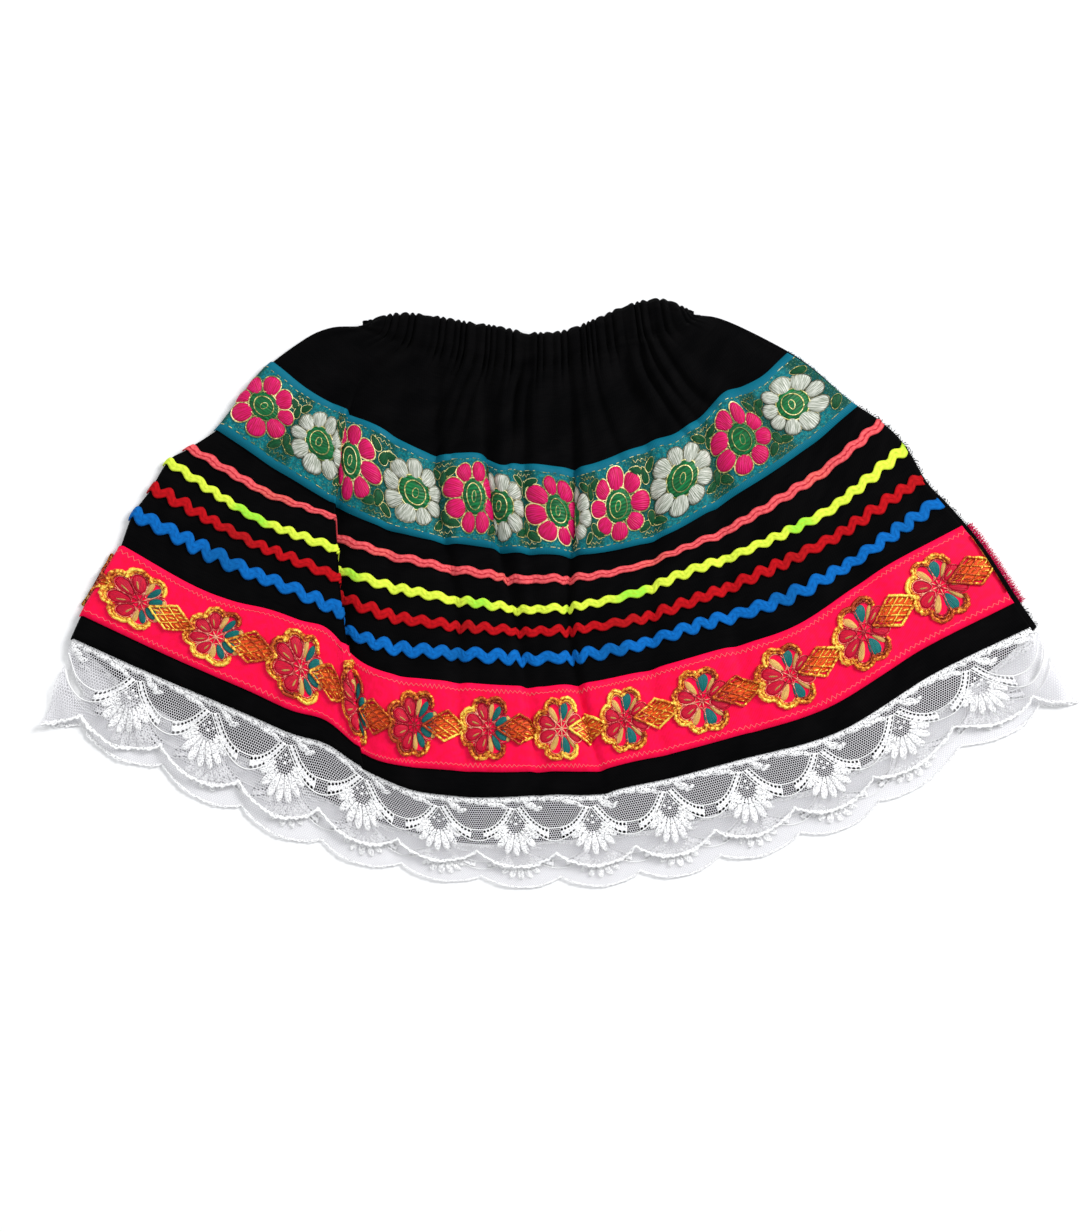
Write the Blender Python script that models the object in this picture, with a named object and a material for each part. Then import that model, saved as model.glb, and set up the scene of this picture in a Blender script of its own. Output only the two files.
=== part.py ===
"""A toddler's flared skirt laid flat: a gathered waist, two embroidered ribbons, rickrack and a lace hem.

The skirt is a tube of black cloth. Its front lies on its back, and the back lies on the surface below.
Sizes are in millimetres. +X runs across the skirt, +Y from hem to waist, and +Z up from the surface.
A place on the skirt is given by u, from 0 at the left side to 1 at the right, and by drop, the distance
below the waist edge, measured down the middle.
"""

import math
from collections import namedtuple

import bmesh
import bpy
import numpy as np
from mathutils import Vector
from mathutils.bvhtree import BVHTree

MM = 0.001

# Walls, and the gap kept between pieces.
CLOTH = 1.2
CASING = 2.4
RIBBON = 1.0
RICKRACK = 1.0
LACE = 1.0
GAP = 0.3
SEAM_GAP = 0.6

# Rows across the laid-out front: where each begins and ends, its height on the page at five even
# stations from left to right, and how high the cloth puffs up there.
Row = namedtuple("Row", "left right y0 y25 y50 y75 y100 puff")
ROWS = {
    "casing_top": Row(-91, 66, 138.5, 136.5, 130.5, 142, 142, 1.0),
    "casing_bottom": Row(-99, 68, 133, 121, 115, 125, 139, 2.5),
    "yoke_upper": Row(-114, 78, 134, 105.5, 98.5, 108.5, 139, 4.6),
    "yoke_lower": Row(-128, 95, 129, 89.5, 80.5, 92.5, 133.5, 5.0),
    "teal_top": Row(-143, 113, 116, 78.5, 65, 77, 122, 4.8),
    "teal_bottom": Row(-171, 148, 83, 36, 20, 38.5, 95.5, 4.4),
    "coral": Row(-185, 160, 66, 25, 8, 31.5, 86, 4.2),
    "yellow": Row(-195, 172, 57, 11, -6, 18, 72, 4.0),
    "red": Row(-203, 180, 43.5, -3.5, -18, 2, 60, 3.8),
    "blue": Row(-212, 189, 32, -16, -32, -8.5, 47.5, 3.6),
    "pink_top": Row(-218, 200, 21, -28.5, -46, -22.5, 33.5, 3.4),
    "pink_bottom": Row(-238, 226, -16, -70, -88.5, -62.5, -5, 2.2),
    "hem": Row(-243, 234, -26.5, -81, -100.5, -74, -18, 1.2),
    "lace_tip": Row(-259, 256, -66, -117, -136.5, -110, -54, 1.2),
}
DROPS = {name: ROWS["casing_top"].y50 - row.y50 for name, row in ROWS.items()}
HEM = DROPS["hem"]

# Valleys that run down the front from the gathers: the x of each at five levels, the share of the puff
# that it takes away at each, the widths of its two walls, and the length of cloth that it hides.
LEVELS = (0, 87, 143, 197, 230)
Fold = namedtuple("Fold", "xs shares left_wall right_wall hidden")
FOLDS = (
    Fold((-88, -139, -149, -166, -173), (0.3, 0.5, 0.4, 0.3, 0.0), 8, 9, 2),
    Fold((-78, -108, -111, -101, -88), (0.4, 0.9, 0.95, 0.8, 0.3), 6, 6, 12),
    Fold((-60, -62, -52, -51, -45), (0.4, 0.7, 0.45, 0.3, 0.0), 9, 6, 5),
    Fold((-36, -30, -19, -14, -10), (0.5, 0.9, 0.6, 0.5, 0.2), 5, 9, 14),
    Fold((3, 8, 4, 16, 26), (0.5, 0.95, 0.7, 0.5, 0.2), 6, 6, 22),
    Fold((20, 47, 45, 47, 55), (0.3, 0.5, 0.45, 0.3, 0.0), 9, 7, 3),
    Fold((42, 68, 81, 90, 100), (0.4, 0.6, 0.4, 0.3, 0.0), 6, 9, 3),
    Fold((58, 120, 135, 160, 170), (0.3, 0.4, 0.3, 0.2, 0.0), 9, 9, 0),
)
SAG_IN_VALLEY = 0.45

# The deepest fold is a tuck. The rows on its left lie this much higher than those on its right.
TUCK = FOLDS[1]
TUCK_STEPS = (0, 1, 11, 9, 8)
TUCK_WIDTH = 7
TUCK_CLEAR = 6

# The elastic's gathers, with how far the casing's three rows bulge and are drawn up between them, and the
# softer gathers that run on below it.
CASING_GATHERS = 38
CASING_GATHER_HEIGHT = 1.8
CASING_BULGES = (0.0, 1.4, 0.6)
CASING_SCALLOPS = (1.0, 0.3, 0.0)
YOKE_GATHERS = 21
YOKE_GATHER_HEIGHTS = ((15, 1.6), (32, 1.2), (50, 0.6), (65, 0.2), (87, 0.0))

# The back lies a little lower than the front along its middle, and its seam allowance shows at the right.
BACK_LOWER = ((0, 0), (110, 5), (231, 11), (267, 11))
SEAM_ALLOWANCE = ((0, 0.6), (50, 3.0), (267, 3.0))
FOLD_OVER = 1.6

# Rickrack: the row that it follows, its wave's length, half its swing and half the braid's width.
Braid = namedtuple("Braid", "wave swing half_width")
BRAIDS = {
    "coral": Braid(11.0, 1.3, 1.9),
    "yellow": Braid(9.6, 1.8, 2.0),
    "red": Braid(9.6, 1.9, 1.8),
    "blue": Braid(10.4, 2.4, 2.2),
}

# Lace: how far it is sewn in under the hem, its scallops and their depth as a share of its drop. Two
# scallops meet at the middle, and the last one at each side is cut short.
LACE_UNDER = 3.0
SCALLOPS = 12.8
SCALLOP_DEPTH = 0.2
LACE_RIPPLE = 1.0

# Heights of the layers where they lie on each other.
BACK_ON_TRIM = RIBBON + GAP
BACK_TOP = BACK_ON_TRIM + CLOTH
FRONT_ON_BACK = 0.5
HEM_ON_LACE = 0.4
HEM_RAMP = 10
HEM_RAMP_ABOVE = 4
FRONT_BASE = BACK_TOP + FRONT_ON_BACK
FRONT_LACE_BASE = BACK_TOP + GAP
FRONT_HEM_BASE = FRONT_LACE_BASE + LACE + HEM_ON_LACE
BACK_CASING_TOP = CASING + CASING_GATHER_HEIGHT
FRONT_CASING_BASE = BACK_CASING_TOP + GAP

COLUMNS = 66
BACK_COLUMNS = 32

Finish = namedtuple("Finish", "colour roughness metallic")
FINISHES = {
    "black_cloth": Finish((0.012, 0.012, 0.014), 0.85, 0.0),
    "teal_ribbon": Finish((0.0, 0.19, 0.24), 0.55, 0.0),
    "pink_ribbon": Finish((0.85, 0.01, 0.09), 0.55, 0.0),
    "coral_braid": Finish((0.92, 0.12, 0.13), 0.7, 0.0),
    "yellow_braid": Finish((0.72, 0.92, 0.06), 0.7, 0.0),
    "red_braid": Finish((0.6, 0.01, 0.02), 0.7, 0.0),
    "blue_braid": Finish((0.0, 0.17, 0.6), 0.7, 0.0),
    "white_lace": Finish((0.82, 0.82, 0.84), 0.8, 0.0),
}


def clear_scene():
    for obj in list(bpy.data.objects):
        bpy.data.objects.remove(obj)


def material(name):
    finish = FINISHES[name]
    made = bpy.data.materials.new(name)
    made.use_nodes = True
    shader = made.node_tree.nodes["Principled BSDF"]
    shader.inputs["Base Color"].default_value = (*finish.colour, 1)
    shader.inputs["Roughness"].default_value = finish.roughness
    shader.inputs["Metallic"].default_value = finish.metallic
    return made


def smooth(at, places, values):
    """A smooth curve through values, which stand at uneven places."""
    places, values = np.asarray(places, float), np.asarray(values, float)
    slopes = np.diff(values) / np.diff(places)
    gaps = np.diff(places)
    inner = (slopes[:-1] * gaps[1:] + slopes[1:] * gaps[:-1]) / (gaps[:-1] + gaps[1:])
    tangents = np.concatenate([slopes[:1], inner, slopes[-1:]])
    i = int(np.clip(np.searchsorted(places, at) - 1, 0, len(gaps) - 1))
    t = (at - places[i]) / gaps[i]
    rise = values[i + 1] - values[i]
    start, end = tangents[i] * gaps[i], tangents[i + 1] * gaps[i]
    return values[i] + t * (start + t * (3 * rise - 2 * start - end + t * (start + end - 2 * rise)))


def row_at(drop):
    """The row at any drop, between the named ones."""
    drops = list(DROPS.values())
    return Row(*(smooth(drop, drops, column) for column in zip(*ROWS.values())))


def ease(t):
    t = min(max(t, 0.0), 1.0)
    return t * t * (3 - 2 * t)


def flat_place(u, drop):
    """Where a point of the smooth front lies on the page, with no folds."""
    row = row_at(drop)
    heights = (row.y0, row.y25, row.y50, row.y75, row.y100)
    x = row.left + u * (row.right - row.left)
    y = float(np.polyval(np.polyfit((0, 0.25, 0.5, 0.75, 1), heights, 4), u))
    return x, y


def valley(fold, x, drop):
    """How much of the puff a fold takes away at x, from 0 to 1."""
    away = x - np.interp(drop, LEVELS, fold.xs)
    wall = fold.left_wall if away < 0 else fold.right_wall
    return np.interp(drop, LEVELS, fold.shares) * math.exp(-((away / wall) ** 2))


def gather_wave(u, count):
    """An uneven wave between 0 and 1, with that many crests across the skirt."""
    drift = 0.22 * math.sin(2 * math.pi * 3 * u) + 0.12 * math.sin(2 * math.pi * 7 * u + 1)
    return 0.5 - 0.5 * math.cos(2 * math.pi * (count * u + drift))


def front(u, drop):
    """The outer surface of the front, on its puffs and folds."""
    x, y = flat_place(u, drop)
    shares = [valley(fold, x, drop) for fold in FOLDS]
    left = math.prod(1 - share for share in shares)
    lifted = row_at(drop).puff * (1 - abs(2 * u - 1) ** 6) * left
    drops, heights = zip(*YOKE_GATHER_HEIGHTS)
    gather = np.interp(drop, drops, heights) * gather_wave(u, YOKE_GATHERS) * (1 - abs(2 * u - 1) ** 6)
    at_hem = ease((drop - DROPS["pink_bottom"] + HEM_RAMP_ABOVE) / HEM_RAMP)
    base = FRONT_BASE + (FRONT_HEM_BASE - FRONT_BASE) * at_hem
    tuck_x = np.interp(drop, LEVELS, TUCK.xs)
    step = np.interp(drop, LEVELS, TUCK_STEPS) * (1 - ease((x - tuck_x) / TUCK_WIDTH + 0.5))
    sag = SAG_IN_VALLEY * row_at(drop).puff * sum(shares)
    return Vector((x, y + step - sag, base + CLOTH + lifted + gather))


def back(u, drop):
    """The place of the back on the page: smooth, and lower than the front along its middle."""
    x, y = flat_place(u, drop)
    x += GAP * (1 - u) + np.interp(drop, *zip(*SEAM_ALLOWANCE)) * u
    return x, y - np.interp(drop, *zip(*BACK_LOWER)) * (1 - (2 * u - 1) ** 4)


def sheet(name, columns, rows, top, under, finish):
    """A wall of cloth: a flat grid whose points go to their places, then copied straight down."""
    body = bmesh.new()
    place = body.verts.layers.int.new("place")
    bmesh.ops.create_grid(body, x_segments=columns, y_segments=rows, size=0.5)
    wide = columns + 1
    for vert in body.verts:
        vert[place] = round((0.5 - vert.co.y) * rows) * wide + round((vert.co.x + 0.5) * columns)
        vert.co = top(vert[place] % wide, vert[place] // wide)
    made = bmesh.ops.extrude_face_region(body, geom=body.faces[:])["geom"]
    for vert in (item for item in made if isinstance(item, bmesh.types.BMVert)):
        vert.co.z = under(vert[place] // wide, vert.co.z)
    bmesh.ops.triangulate(body, faces=body.faces[:], quad_method="SHORT_EDGE")
    bmesh.ops.recalc_face_normals(body, faces=body.faces[:])
    bmesh.ops.scale(body, verts=body.verts[:], vec=(MM, MM, MM))
    mesh = bpy.data.meshes.new(name)
    body.to_mesh(mesh)
    body.free()
    mesh.materials.append(bpy.data.materials[finish])
    obj = bpy.data.objects.new(name, mesh)
    bpy.data.collections["skirt"].objects.link(obj)
    return obj


def below(thickness):
    """The underside of a wall of even thickness, measured straight down."""
    return lambda row, height: height - thickness


def on_surface(row, height):
    """The underside of a piece that lies on the surface."""
    return 0.0


def front_column(column, drop):
    """A point of the front's grid. The first column turns down round the left side to the surface."""
    if column == 0:
        edge = front(0, drop)
        return Vector((edge.x - FOLD_OVER, edge.y - 0.4 * FOLD_OVER, CLOTH))
    return front((column - 1) / (COLUMNS - 1), drop)


def front_drops():
    """The drops of the front's rows, which follow the edges of what is sewn on it."""
    casing_end = DROPS["casing_bottom"] + SEAM_GAP
    middle = (DROPS["teal_top"] + DROPS["teal_bottom"]) / 2
    return sorted([casing_end, middle, *(DROPS[name] for name in list(ROWS)[2:-1])])


def front_panel():
    drops = front_drops()
    return sheet(
        "front_panel", COLUMNS, len(drops) - 1,
        lambda column, row: front_column(column, drops[row]), below(CLOTH), "black_cloth",
    )


def front_ribbon(name, first, last, finish):
    """A ribbon on the front, made from the front's own points, moved out."""
    drops = [drop for drop in front_drops() if DROPS[first] <= drop <= DROPS[last]]
    lift = Vector((0, 0, GAP + RIBBON))
    return sheet(
        name, COLUMNS, len(drops) - 1,
        lambda column, row: front_column(column, drops[row]) + lift, below(RIBBON), finish,
    )


def front_casing():
    """The waist's channel for the elastic, gathered, and fullest along its middle."""
    rows = len(CASING_BULGES) - 1
    columns = 4 * CASING_GATHERS

    def place(column, row):
        u = column / columns
        x, y = flat_place(u, DROPS["casing_bottom"] * row / rows)
        wave = gather_wave(u, CASING_GATHERS)
        height = FRONT_CASING_BASE + CASING + CASING_BULGES[row] + CASING_GATHER_HEIGHT * wave
        return Vector((x, y + CASING_SCALLOPS[row] * wave, height))

    return sheet("front_casing", columns, rows, place, below(CASING), "black_cloth")


def back_casing():
    """The same channel round the back, gathered on its upper face and flat on the surface."""
    columns = 2 * CASING_GATHERS

    def place(column, row):
        spot = back(column / columns, DROPS["casing_bottom"] * row)
        return Vector((*spot, CASING + CASING_GATHER_HEIGHT * (column % 2)))

    return sheet("back_casing", columns, 1, place, on_surface, "black_cloth")


def back_rows():
    """The back's rows as (drop, underside): it lies on the surface, and on the trims sewn under it."""
    ramp = 0.8
    rows = [(DROPS["casing_bottom"] + SEAM_GAP, 0.0), (DROPS["yoke_lower"], 0.0)]
    for first, last in (("teal_top", "teal_bottom"), ("pink_top", "pink_bottom")):
        start, end = DROPS[first] - GAP, DROPS[last] + GAP
        rows += [(start - ramp, 0.0), (start, BACK_ON_TRIM), (end, BACK_ON_TRIM), (end + ramp, 0.0)]
    lace_start = HEM - LACE_UNDER - GAP
    return rows + [(lace_start - ramp, 0.0), (lace_start, BACK_ON_TRIM), (HEM, BACK_ON_TRIM)]


def back_panel():
    rows = back_rows()

    def place(column, row):
        drop, underside = rows[row]
        return Vector((*back(column / BACK_COLUMNS, drop), underside + CLOTH))

    return sheet(
        "back_panel", BACK_COLUMNS, len(rows) - 1, place, lambda row, height: rows[row][1], "black_cloth"
    )


def back_ribbon(name, first, last, finish):
    """The same ribbon where it goes on round the back, pressed flat under the cloth."""
    drops = (DROPS[first], DROPS[last])
    return sheet(
        name, BACK_COLUMNS, 1,
        lambda column, row: Vector((*back(column / BACK_COLUMNS, drops[row]), RIBBON)), on_surface, finish,
    )


def cloth_lengths(drop, samples=400):
    """How much cloth lies between the left side and each u along a row, with what the folds hide."""
    us = np.linspace(0, 1, samples + 1)
    points = [front(u, drop) for u in us]
    along = np.cumsum([0] + [(b - a).length for a, b in zip(points, points[1:])])
    for fold in FOLDS:
        centre = np.interp(drop, LEVELS, fold.xs)
        share = np.interp(drop, LEVELS, fold.shares)
        width = fold.left_wall + fold.right_wall
        along += fold.hidden * share * np.array([ease((p.x - centre) / width + 0.5) for p in points])
    return us, along


def height_over(faces, spot, reach):
    """The greatest height of some faces within reach of a spot."""
    steps = (-reach, -reach / 2, 0, reach / 2, reach)
    near = [Vector((spot.x + dx, spot.y + dy, 100)) for dx in steps for dy in steps]
    hits = [faces.ray_cast(point, Vector((0, 0, -1)))[0] for point in near]
    return max(hit.z for hit in hits if hit)


def rickrack(name, row_name, cloth, start, end):
    """A length of zigzag braid, laid on the faces of the front between two places of u."""
    braid, drop = BRAIDS[row_name], DROPS[row_name]
    us, along = cloth_lengths(drop)
    first, last = np.interp((start, end), us, along)
    columns = 2 * round((last - first) / braid.wave)

    def place(column, row):
        u = float(np.interp(first + (last - first) * column / columns, along, us))
        here, ahead = front(u, drop), front(u + 0.002, drop)
        across = Vector((here.y - ahead.y, ahead.x - here.x, 0)).normalized()
        swing = braid.swing if column % 2 else -braid.swing
        spot = here + across * (swing + (braid.half_width if row == 0 else -braid.half_width))
        return Vector((spot.x, spot.y, height_over(cloth, spot, braid.wave / 4) + GAP + RICKRACK))

    return sheet(name, columns, 1, place, below(RICKRACK), row_name + "_braid")


def tuck_sides(drop):
    """The places of u just left and right of the tuck, where the braids go in under it."""
    row = row_at(drop)
    tuck_x = np.interp(drop, LEVELS, TUCK.xs)
    return [(tuck_x + side * TUCK_CLEAR - row.left) / (row.right - row.left) for side in (-1, 1)]


def all_rickrack(cloth):
    inset = 0.004
    for row_name in BRAIDS:
        before, after = tuck_sides(DROPS[row_name])
        rickrack(row_name + "_rickrack_left", row_name, cloth, inset, before)
        rickrack(row_name + "_rickrack_right", row_name, cloth, after, 1 - inset)


def scallop(u):
    """The share of the lace's full drop that it reaches at u: round lobes and narrow notches."""
    lobe = abs(math.sin(math.pi * SCALLOPS * (u - 0.5)))
    return 1 - SCALLOP_DEPTH * (1 - lobe**0.7)


def lace(name, page, base, under):
    """A scalloped lace, sewn in under the hem, with a soft wave in each scallop."""
    columns = round(5 * SCALLOPS)
    shares = (0.0, 0.6, 1.0)

    def place(column, row):
        u, share = column / columns, shares[row]
        depth = -LACE_UNDER if row == 0 else (DROPS["lace_tip"] - HEM) * share * scallop(u)
        ripple = LACE_RIPPLE * share * (0.5 - 0.5 * math.cos(2 * math.pi * SCALLOPS * (u - 0.5)))
        return Vector((*page(u, HEM + depth), base + LACE + ripple))

    return sheet(name, columns, len(shares) - 1, place, under, "white_lace")


def front_lace():
    def page(u, drop):
        x, y = flat_place(u, drop)
        return x, y + front(u, HEM).y - flat_place(u, HEM)[1]

    return lace("front_lace", page, FRONT_LACE_BASE, below(LACE))


def back_lace():
    return lace("back_lace", back, 0.0, on_surface)


def top_of(obj):
    """The faces of a piece, in millimetres, to lay others on."""
    points = [vert.co / MM for vert in obj.data.vertices]
    return BVHTree.FromPolygons(points, [face.vertices[:] for face in obj.data.polygons])


clear_scene()
collection = bpy.data.collections.new("skirt")
bpy.context.scene.collection.children.link(collection)
for finish_name in FINISHES:
    material(finish_name)

front_casing()
back_casing()
cloth_faces = top_of(front_panel())
back_panel()
front_ribbon("teal_ribbon_front", "teal_top", "teal_bottom", "teal_ribbon")
front_ribbon("pink_ribbon_front", "pink_top", "pink_bottom", "pink_ribbon")
back_ribbon("teal_ribbon_back", "teal_top", "teal_bottom", "teal_ribbon")
back_ribbon("pink_ribbon_back", "pink_top", "pink_bottom", "pink_ribbon")
all_rickrack(cloth_faces)
front_lace()
back_lace()
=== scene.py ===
import math
from collections import namedtuple

import bpy
import numpy as np
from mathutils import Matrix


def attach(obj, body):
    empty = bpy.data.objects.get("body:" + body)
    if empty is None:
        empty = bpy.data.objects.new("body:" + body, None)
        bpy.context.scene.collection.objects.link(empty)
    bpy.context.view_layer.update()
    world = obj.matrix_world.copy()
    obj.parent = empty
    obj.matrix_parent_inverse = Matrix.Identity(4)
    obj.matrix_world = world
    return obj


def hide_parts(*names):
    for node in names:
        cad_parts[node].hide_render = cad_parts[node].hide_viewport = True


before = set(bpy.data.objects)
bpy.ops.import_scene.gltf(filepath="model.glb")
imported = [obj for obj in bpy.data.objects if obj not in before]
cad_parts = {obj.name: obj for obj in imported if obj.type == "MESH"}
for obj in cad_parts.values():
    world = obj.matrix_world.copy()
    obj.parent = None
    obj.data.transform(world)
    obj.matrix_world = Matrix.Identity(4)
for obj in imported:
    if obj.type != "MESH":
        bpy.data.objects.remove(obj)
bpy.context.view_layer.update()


# The front of the skirt is one flared piece of plain woven black cotton. Its top is gathered into the
# waist, and from there soft folds run down through the trims that are sewn on it. One fold is deep: the
# cloth left of it lies over the cloth on its right, which comes out lower, so every trim steps there.

MM = 0.001

# Rows across the laid-out front, in millimetres: the x of both ends, how high the cloth puffs up, how
# much higher the row lies left of the deep fold, and its y at eleven even stations from left to right.
Row = namedtuple("Row", "left right puff step ys")
ROWS = {
    "casing_top": Row(
        -97, 66.5, 1.0, 0, (135, 138.6, 137.3, 134.5, 132, 129, 129.8, 135.8, 142.8, 145.6, 139.6)),
    "casing_bottom": Row(
        -101, 70, 2.2, 0, (134, 128, 123, 119, 115.5, 114.5, 117, 123, 129, 132.5, 139.4)),
    "yoke_upper": Row(
        -114, 79, 5.0, 0, (133.4, 119.5, 109, 102.5, 99, 98.5, 100.5, 105, 113, 124, 138)),
    "yoke_lower": Row(
        -128, 95, 5.6, 0, (127, 108, 95, 86, 81.5, 80.5, 82.5, 88.5, 98.5, 112, 131)),
    "teal_top": Row(
        -143, 113, 5.6, 2, (114, 95.4, 84.5, 71, 70.5, 65.5, 64, 73.2, 85, 101.3, 121.5)),
    "teal_bottom": Row(
        -171, 148, 5.2, 0.8, (81.2, 60.5, 41.6, 29.7, 24.5, 20.5, 21, 30, 48, 68.5, 94)),
    "coral": Row(
        -185, 160, 5.0, 10, (63, 43.2, 30.3, 18.9, 12.2, 8.2, 10.3, 21.5, 36.5, 58.5, 86)),
    "yellow": Row(
        -195, 172, 4.8, 10.5, (56, 31.8, 16.4, 4.3, -2.4, -7, -2, 11.2, 24.8, 44.4, 73)),
    "red": Row(
        -203, 180, 4.6, 9, (44, 23, 6.5, -9.5, -15, -18, -14, -3.5, 12.5, 33, 57.5)),
    "blue": Row(
        -212, 189, 4.4, 8.5, (32, 11.5, -6, -24, -28.5, -31.5, -26.5, -15, -2.5, 19, 47)),
    "pink_top": Row(
        -218, 200, 4.2, 0.5, (24, 1.2, -11.5, -36.5, -43.2, -45, -39.5, -28.3, -15.5, 12.2, 34.5)),
    "pink_bottom": Row(
        -238, 226, 3.0, 2.0, (-12.5, -34, -54.5, -80.2, -87.3, -87.5, -82, -70.5, -56, -27.3, -4)),
    "hem": Row(
        -243, 234, 2.0, 0.8, (-22.5, -43.7, -64, -87, -100, -99, -93.5, -81.5, -68, -39, -16)),
    "lace_tip": Row(
        -259, 256, 2.0, 0.2, (-64.5, -81.5, -105.5, -124, -134, -136.5, -132, -119.5, -101, -70, -54)),
}

# How far each row lies below the waist's edge, along the middle. Every height on the skirt is such a drop.
DROPS = {name: ROWS["casing_top"].ys[5] - row.ys[5] for name, row in ROWS.items()}
HEM = DROPS["hem"]

# Folds that run down the front: the x of each valley at five levels of drop, the share of the puff
# that it takes away at each, and how wide its left and right walls are.
LEVELS = (0, 85, 140, 196, 230)
Fold = namedtuple("Fold", "xs shares left_wall right_wall")
FOLDS = (
    Fold((-88, -139, -149, -166, -173), (0.3, 0.35, 0.3, 0.2, 0.0), 8, 9),
    Fold((-84, -110.8, -111.3, -103, -98), (0.4, 1.0, 1.0, 0.9, 0.6), 1.2, 9),
    Fold((-68, -86, -84, -76, -70), (0.3, 0.4, 0.3, 0.2, 0.0), 4, 6),
    Fold((-60, -61, -52, -50, -45), (0.4, 0.75, 0.55, 0.4, 0.0), 5, 3.4),
    Fold((-38, -35, -23, -14, -10), (0.6, 1.0, 0.8, 0.6, 0.2), 2.4, 6),
    Fold((-22, -18.5, -12, -4, 4), (0.3, 0.6, 0.3, 0.2, 0.0), 3.2, 5),
    Fold((3, 7.6, 4, 14, 24), (0.6, 1.0, 0.9, 0.7, 0.3), 4.4, 2.6),
    Fold((20, 46, 45, 47, 55), (0.3, 0.55, 0.5, 0.4, 0.0), 6, 4),
    Fold((42, 75, 81, 92, 100), (0.4, 0.65, 0.5, 0.35, 0.0), 3.6, 7),
    Fold((58, 124, 135, 160, 170), (0.3, 0.4, 0.35, 0.3, 0.0), 7, 7),
)

# The deep fold starts below the waist. Its lip hangs over its wall by so much at each drop.
TUCK = FOLDS[1]
TUCK_WALL = 1.6
TUCK_OVERHANGS = ((0, 0), (60, 0.2), (110, 0.8), (122, 0.75), (135, 1.7), (170, 1.7), (200, 1.2), (230, 0))
TUCK_START = 42
TUCK_GROWS = 26

# The other valleys draw the rows down a little, from below the waist on.
VALLEY_DIP = 2.0
DIP_START = 40
DIP_GROWS = 30

# Places where stitches and folds draw the cloth up or down the page, beside what the rows say.
Draw = namedtuple("Draw", "x wide drops heights")
DRAWS = (
    Draw(-116, 10, (163, 175, 196, 216), (0, 6.0, 3.0, 0)),
    Draw(-116, 14, (185, 216, 228, 266), (0, 7.0, 4.6, 2.5)),
    Draw(-29, 6, (40, 62, 85, 108), (0, -3.6, -1.5, 0)),
    Draw(57, 8, (40, 66, 90, 112), (0, -2.4, -1.0, 0)),
    Draw(81, 7, (40, 66, 90, 112), (0, 4.0, 1.0, 0)),
    Draw(101, 8, (40, 66, 90, 112), (0, -2.6, -0.5, 0)),
    Draw(16, 14, (160, 200, 232, 266), (0, -1.8, -2.2, 0)),
    Draw(-74, 14, (190, 216, 232, 266), (0, 0, -2.0, 0)),
)

# Gathers at the waist and the softer folds that they run out into: (drop, depth) pairs.
CASING_RISE = ((0, 3.6), (3, 4.7), (11, 4.7), (15.5, 2.9), (20, 2.6), (32, 0.6), (45, 0.0))
GATHERS = 40
GATHER_DEPTHS = ((0, 3.0), (12, 3.0), (15.5, 3.6), (20, 2.0), (28, 0.6), (36, 0.0))
YOKE_GATHERS = 17
YOKE_GATHER_DEPTHS = (
    (0, 0.0), (13, 0.6), (24, 3.6), (38, 4.2), (52, 3.2), (66, 1.6), (85, 0.5), (105, 0.0),
)
EDGE_BUMPS = 1.9
EDGE_BUMPS_DEEP = 9

# How high the cloth lies, and how its left side and its top roll down to their last height.
CLOTH_WALL = 0.6
SHEET_BASE = 3.4
HEM_BASE = 4.4
HEM_RAMP = 10
HEM_RAMP_ABOVE = 4
SIDE_ROLL = 1.8
SIDE_ROLL_END = 1.2
TOP_ROLL = 1.6
TOP_ROLL_END = 4.6


def glide(here, ahead, start, end, t):
    """A smooth curve from here to ahead while t goes from 0 to 1, with the slopes start and end."""
    rise = ahead - here
    return here + t * (start + t * (3 * rise - 2 * start - end + t * (start + end - 2 * rise)))


def curve(at, places, values):
    """A smooth curve through values, which stand at uneven places. Works on whole arrays."""
    places, values = np.asarray(places, float), np.asarray(values, float)
    tall = (-1, *[1] * (values.ndim - 1))
    gaps = np.diff(places)
    slopes = np.diff(values, axis=0) / gaps.reshape(tall)
    gap_before, gap_after = gaps[:-1].reshape(tall), gaps[1:].reshape(tall)
    inner = (slopes[:-1] * gap_after + slopes[1:] * gap_before) / (gap_before + gap_after)
    tangents = np.concatenate([slopes[:1], inner, slopes[-1:]])
    i = np.clip(np.searchsorted(places, at) - 1, 0, len(gaps) - 1)
    t, reach = ((at - places[i]) / gaps[i]).reshape(tall), gaps[i].reshape(tall)
    return glide(values[i], values[i + 1], tangents[i] * reach, tangents[i + 1] * reach, t)


def ease(t):
    """A smooth rise from 0 to 1 while t does the same."""
    t = np.clip(t, 0, 1)
    return t * t * (3 - 2 * t)


def wave(turns, phase=0.0):
    """A smooth wave that repeats after each whole turn."""
    return np.sin(2 * math.pi * turns + phase)


def at_drop(table, drop):
    """What a table of (drop, value) pairs says at any drops."""
    return np.interp(drop, *zip(*table))


def row_values(drop):
    """The rows' numbers at any drops, between the named rows: left, right, puff, step and eleven ys."""
    table = [(row.left, row.right, row.puff, row.step, *row.ys) for row in ROWS.values()]
    return curve(drop, list(DROPS.values()), table)


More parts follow.
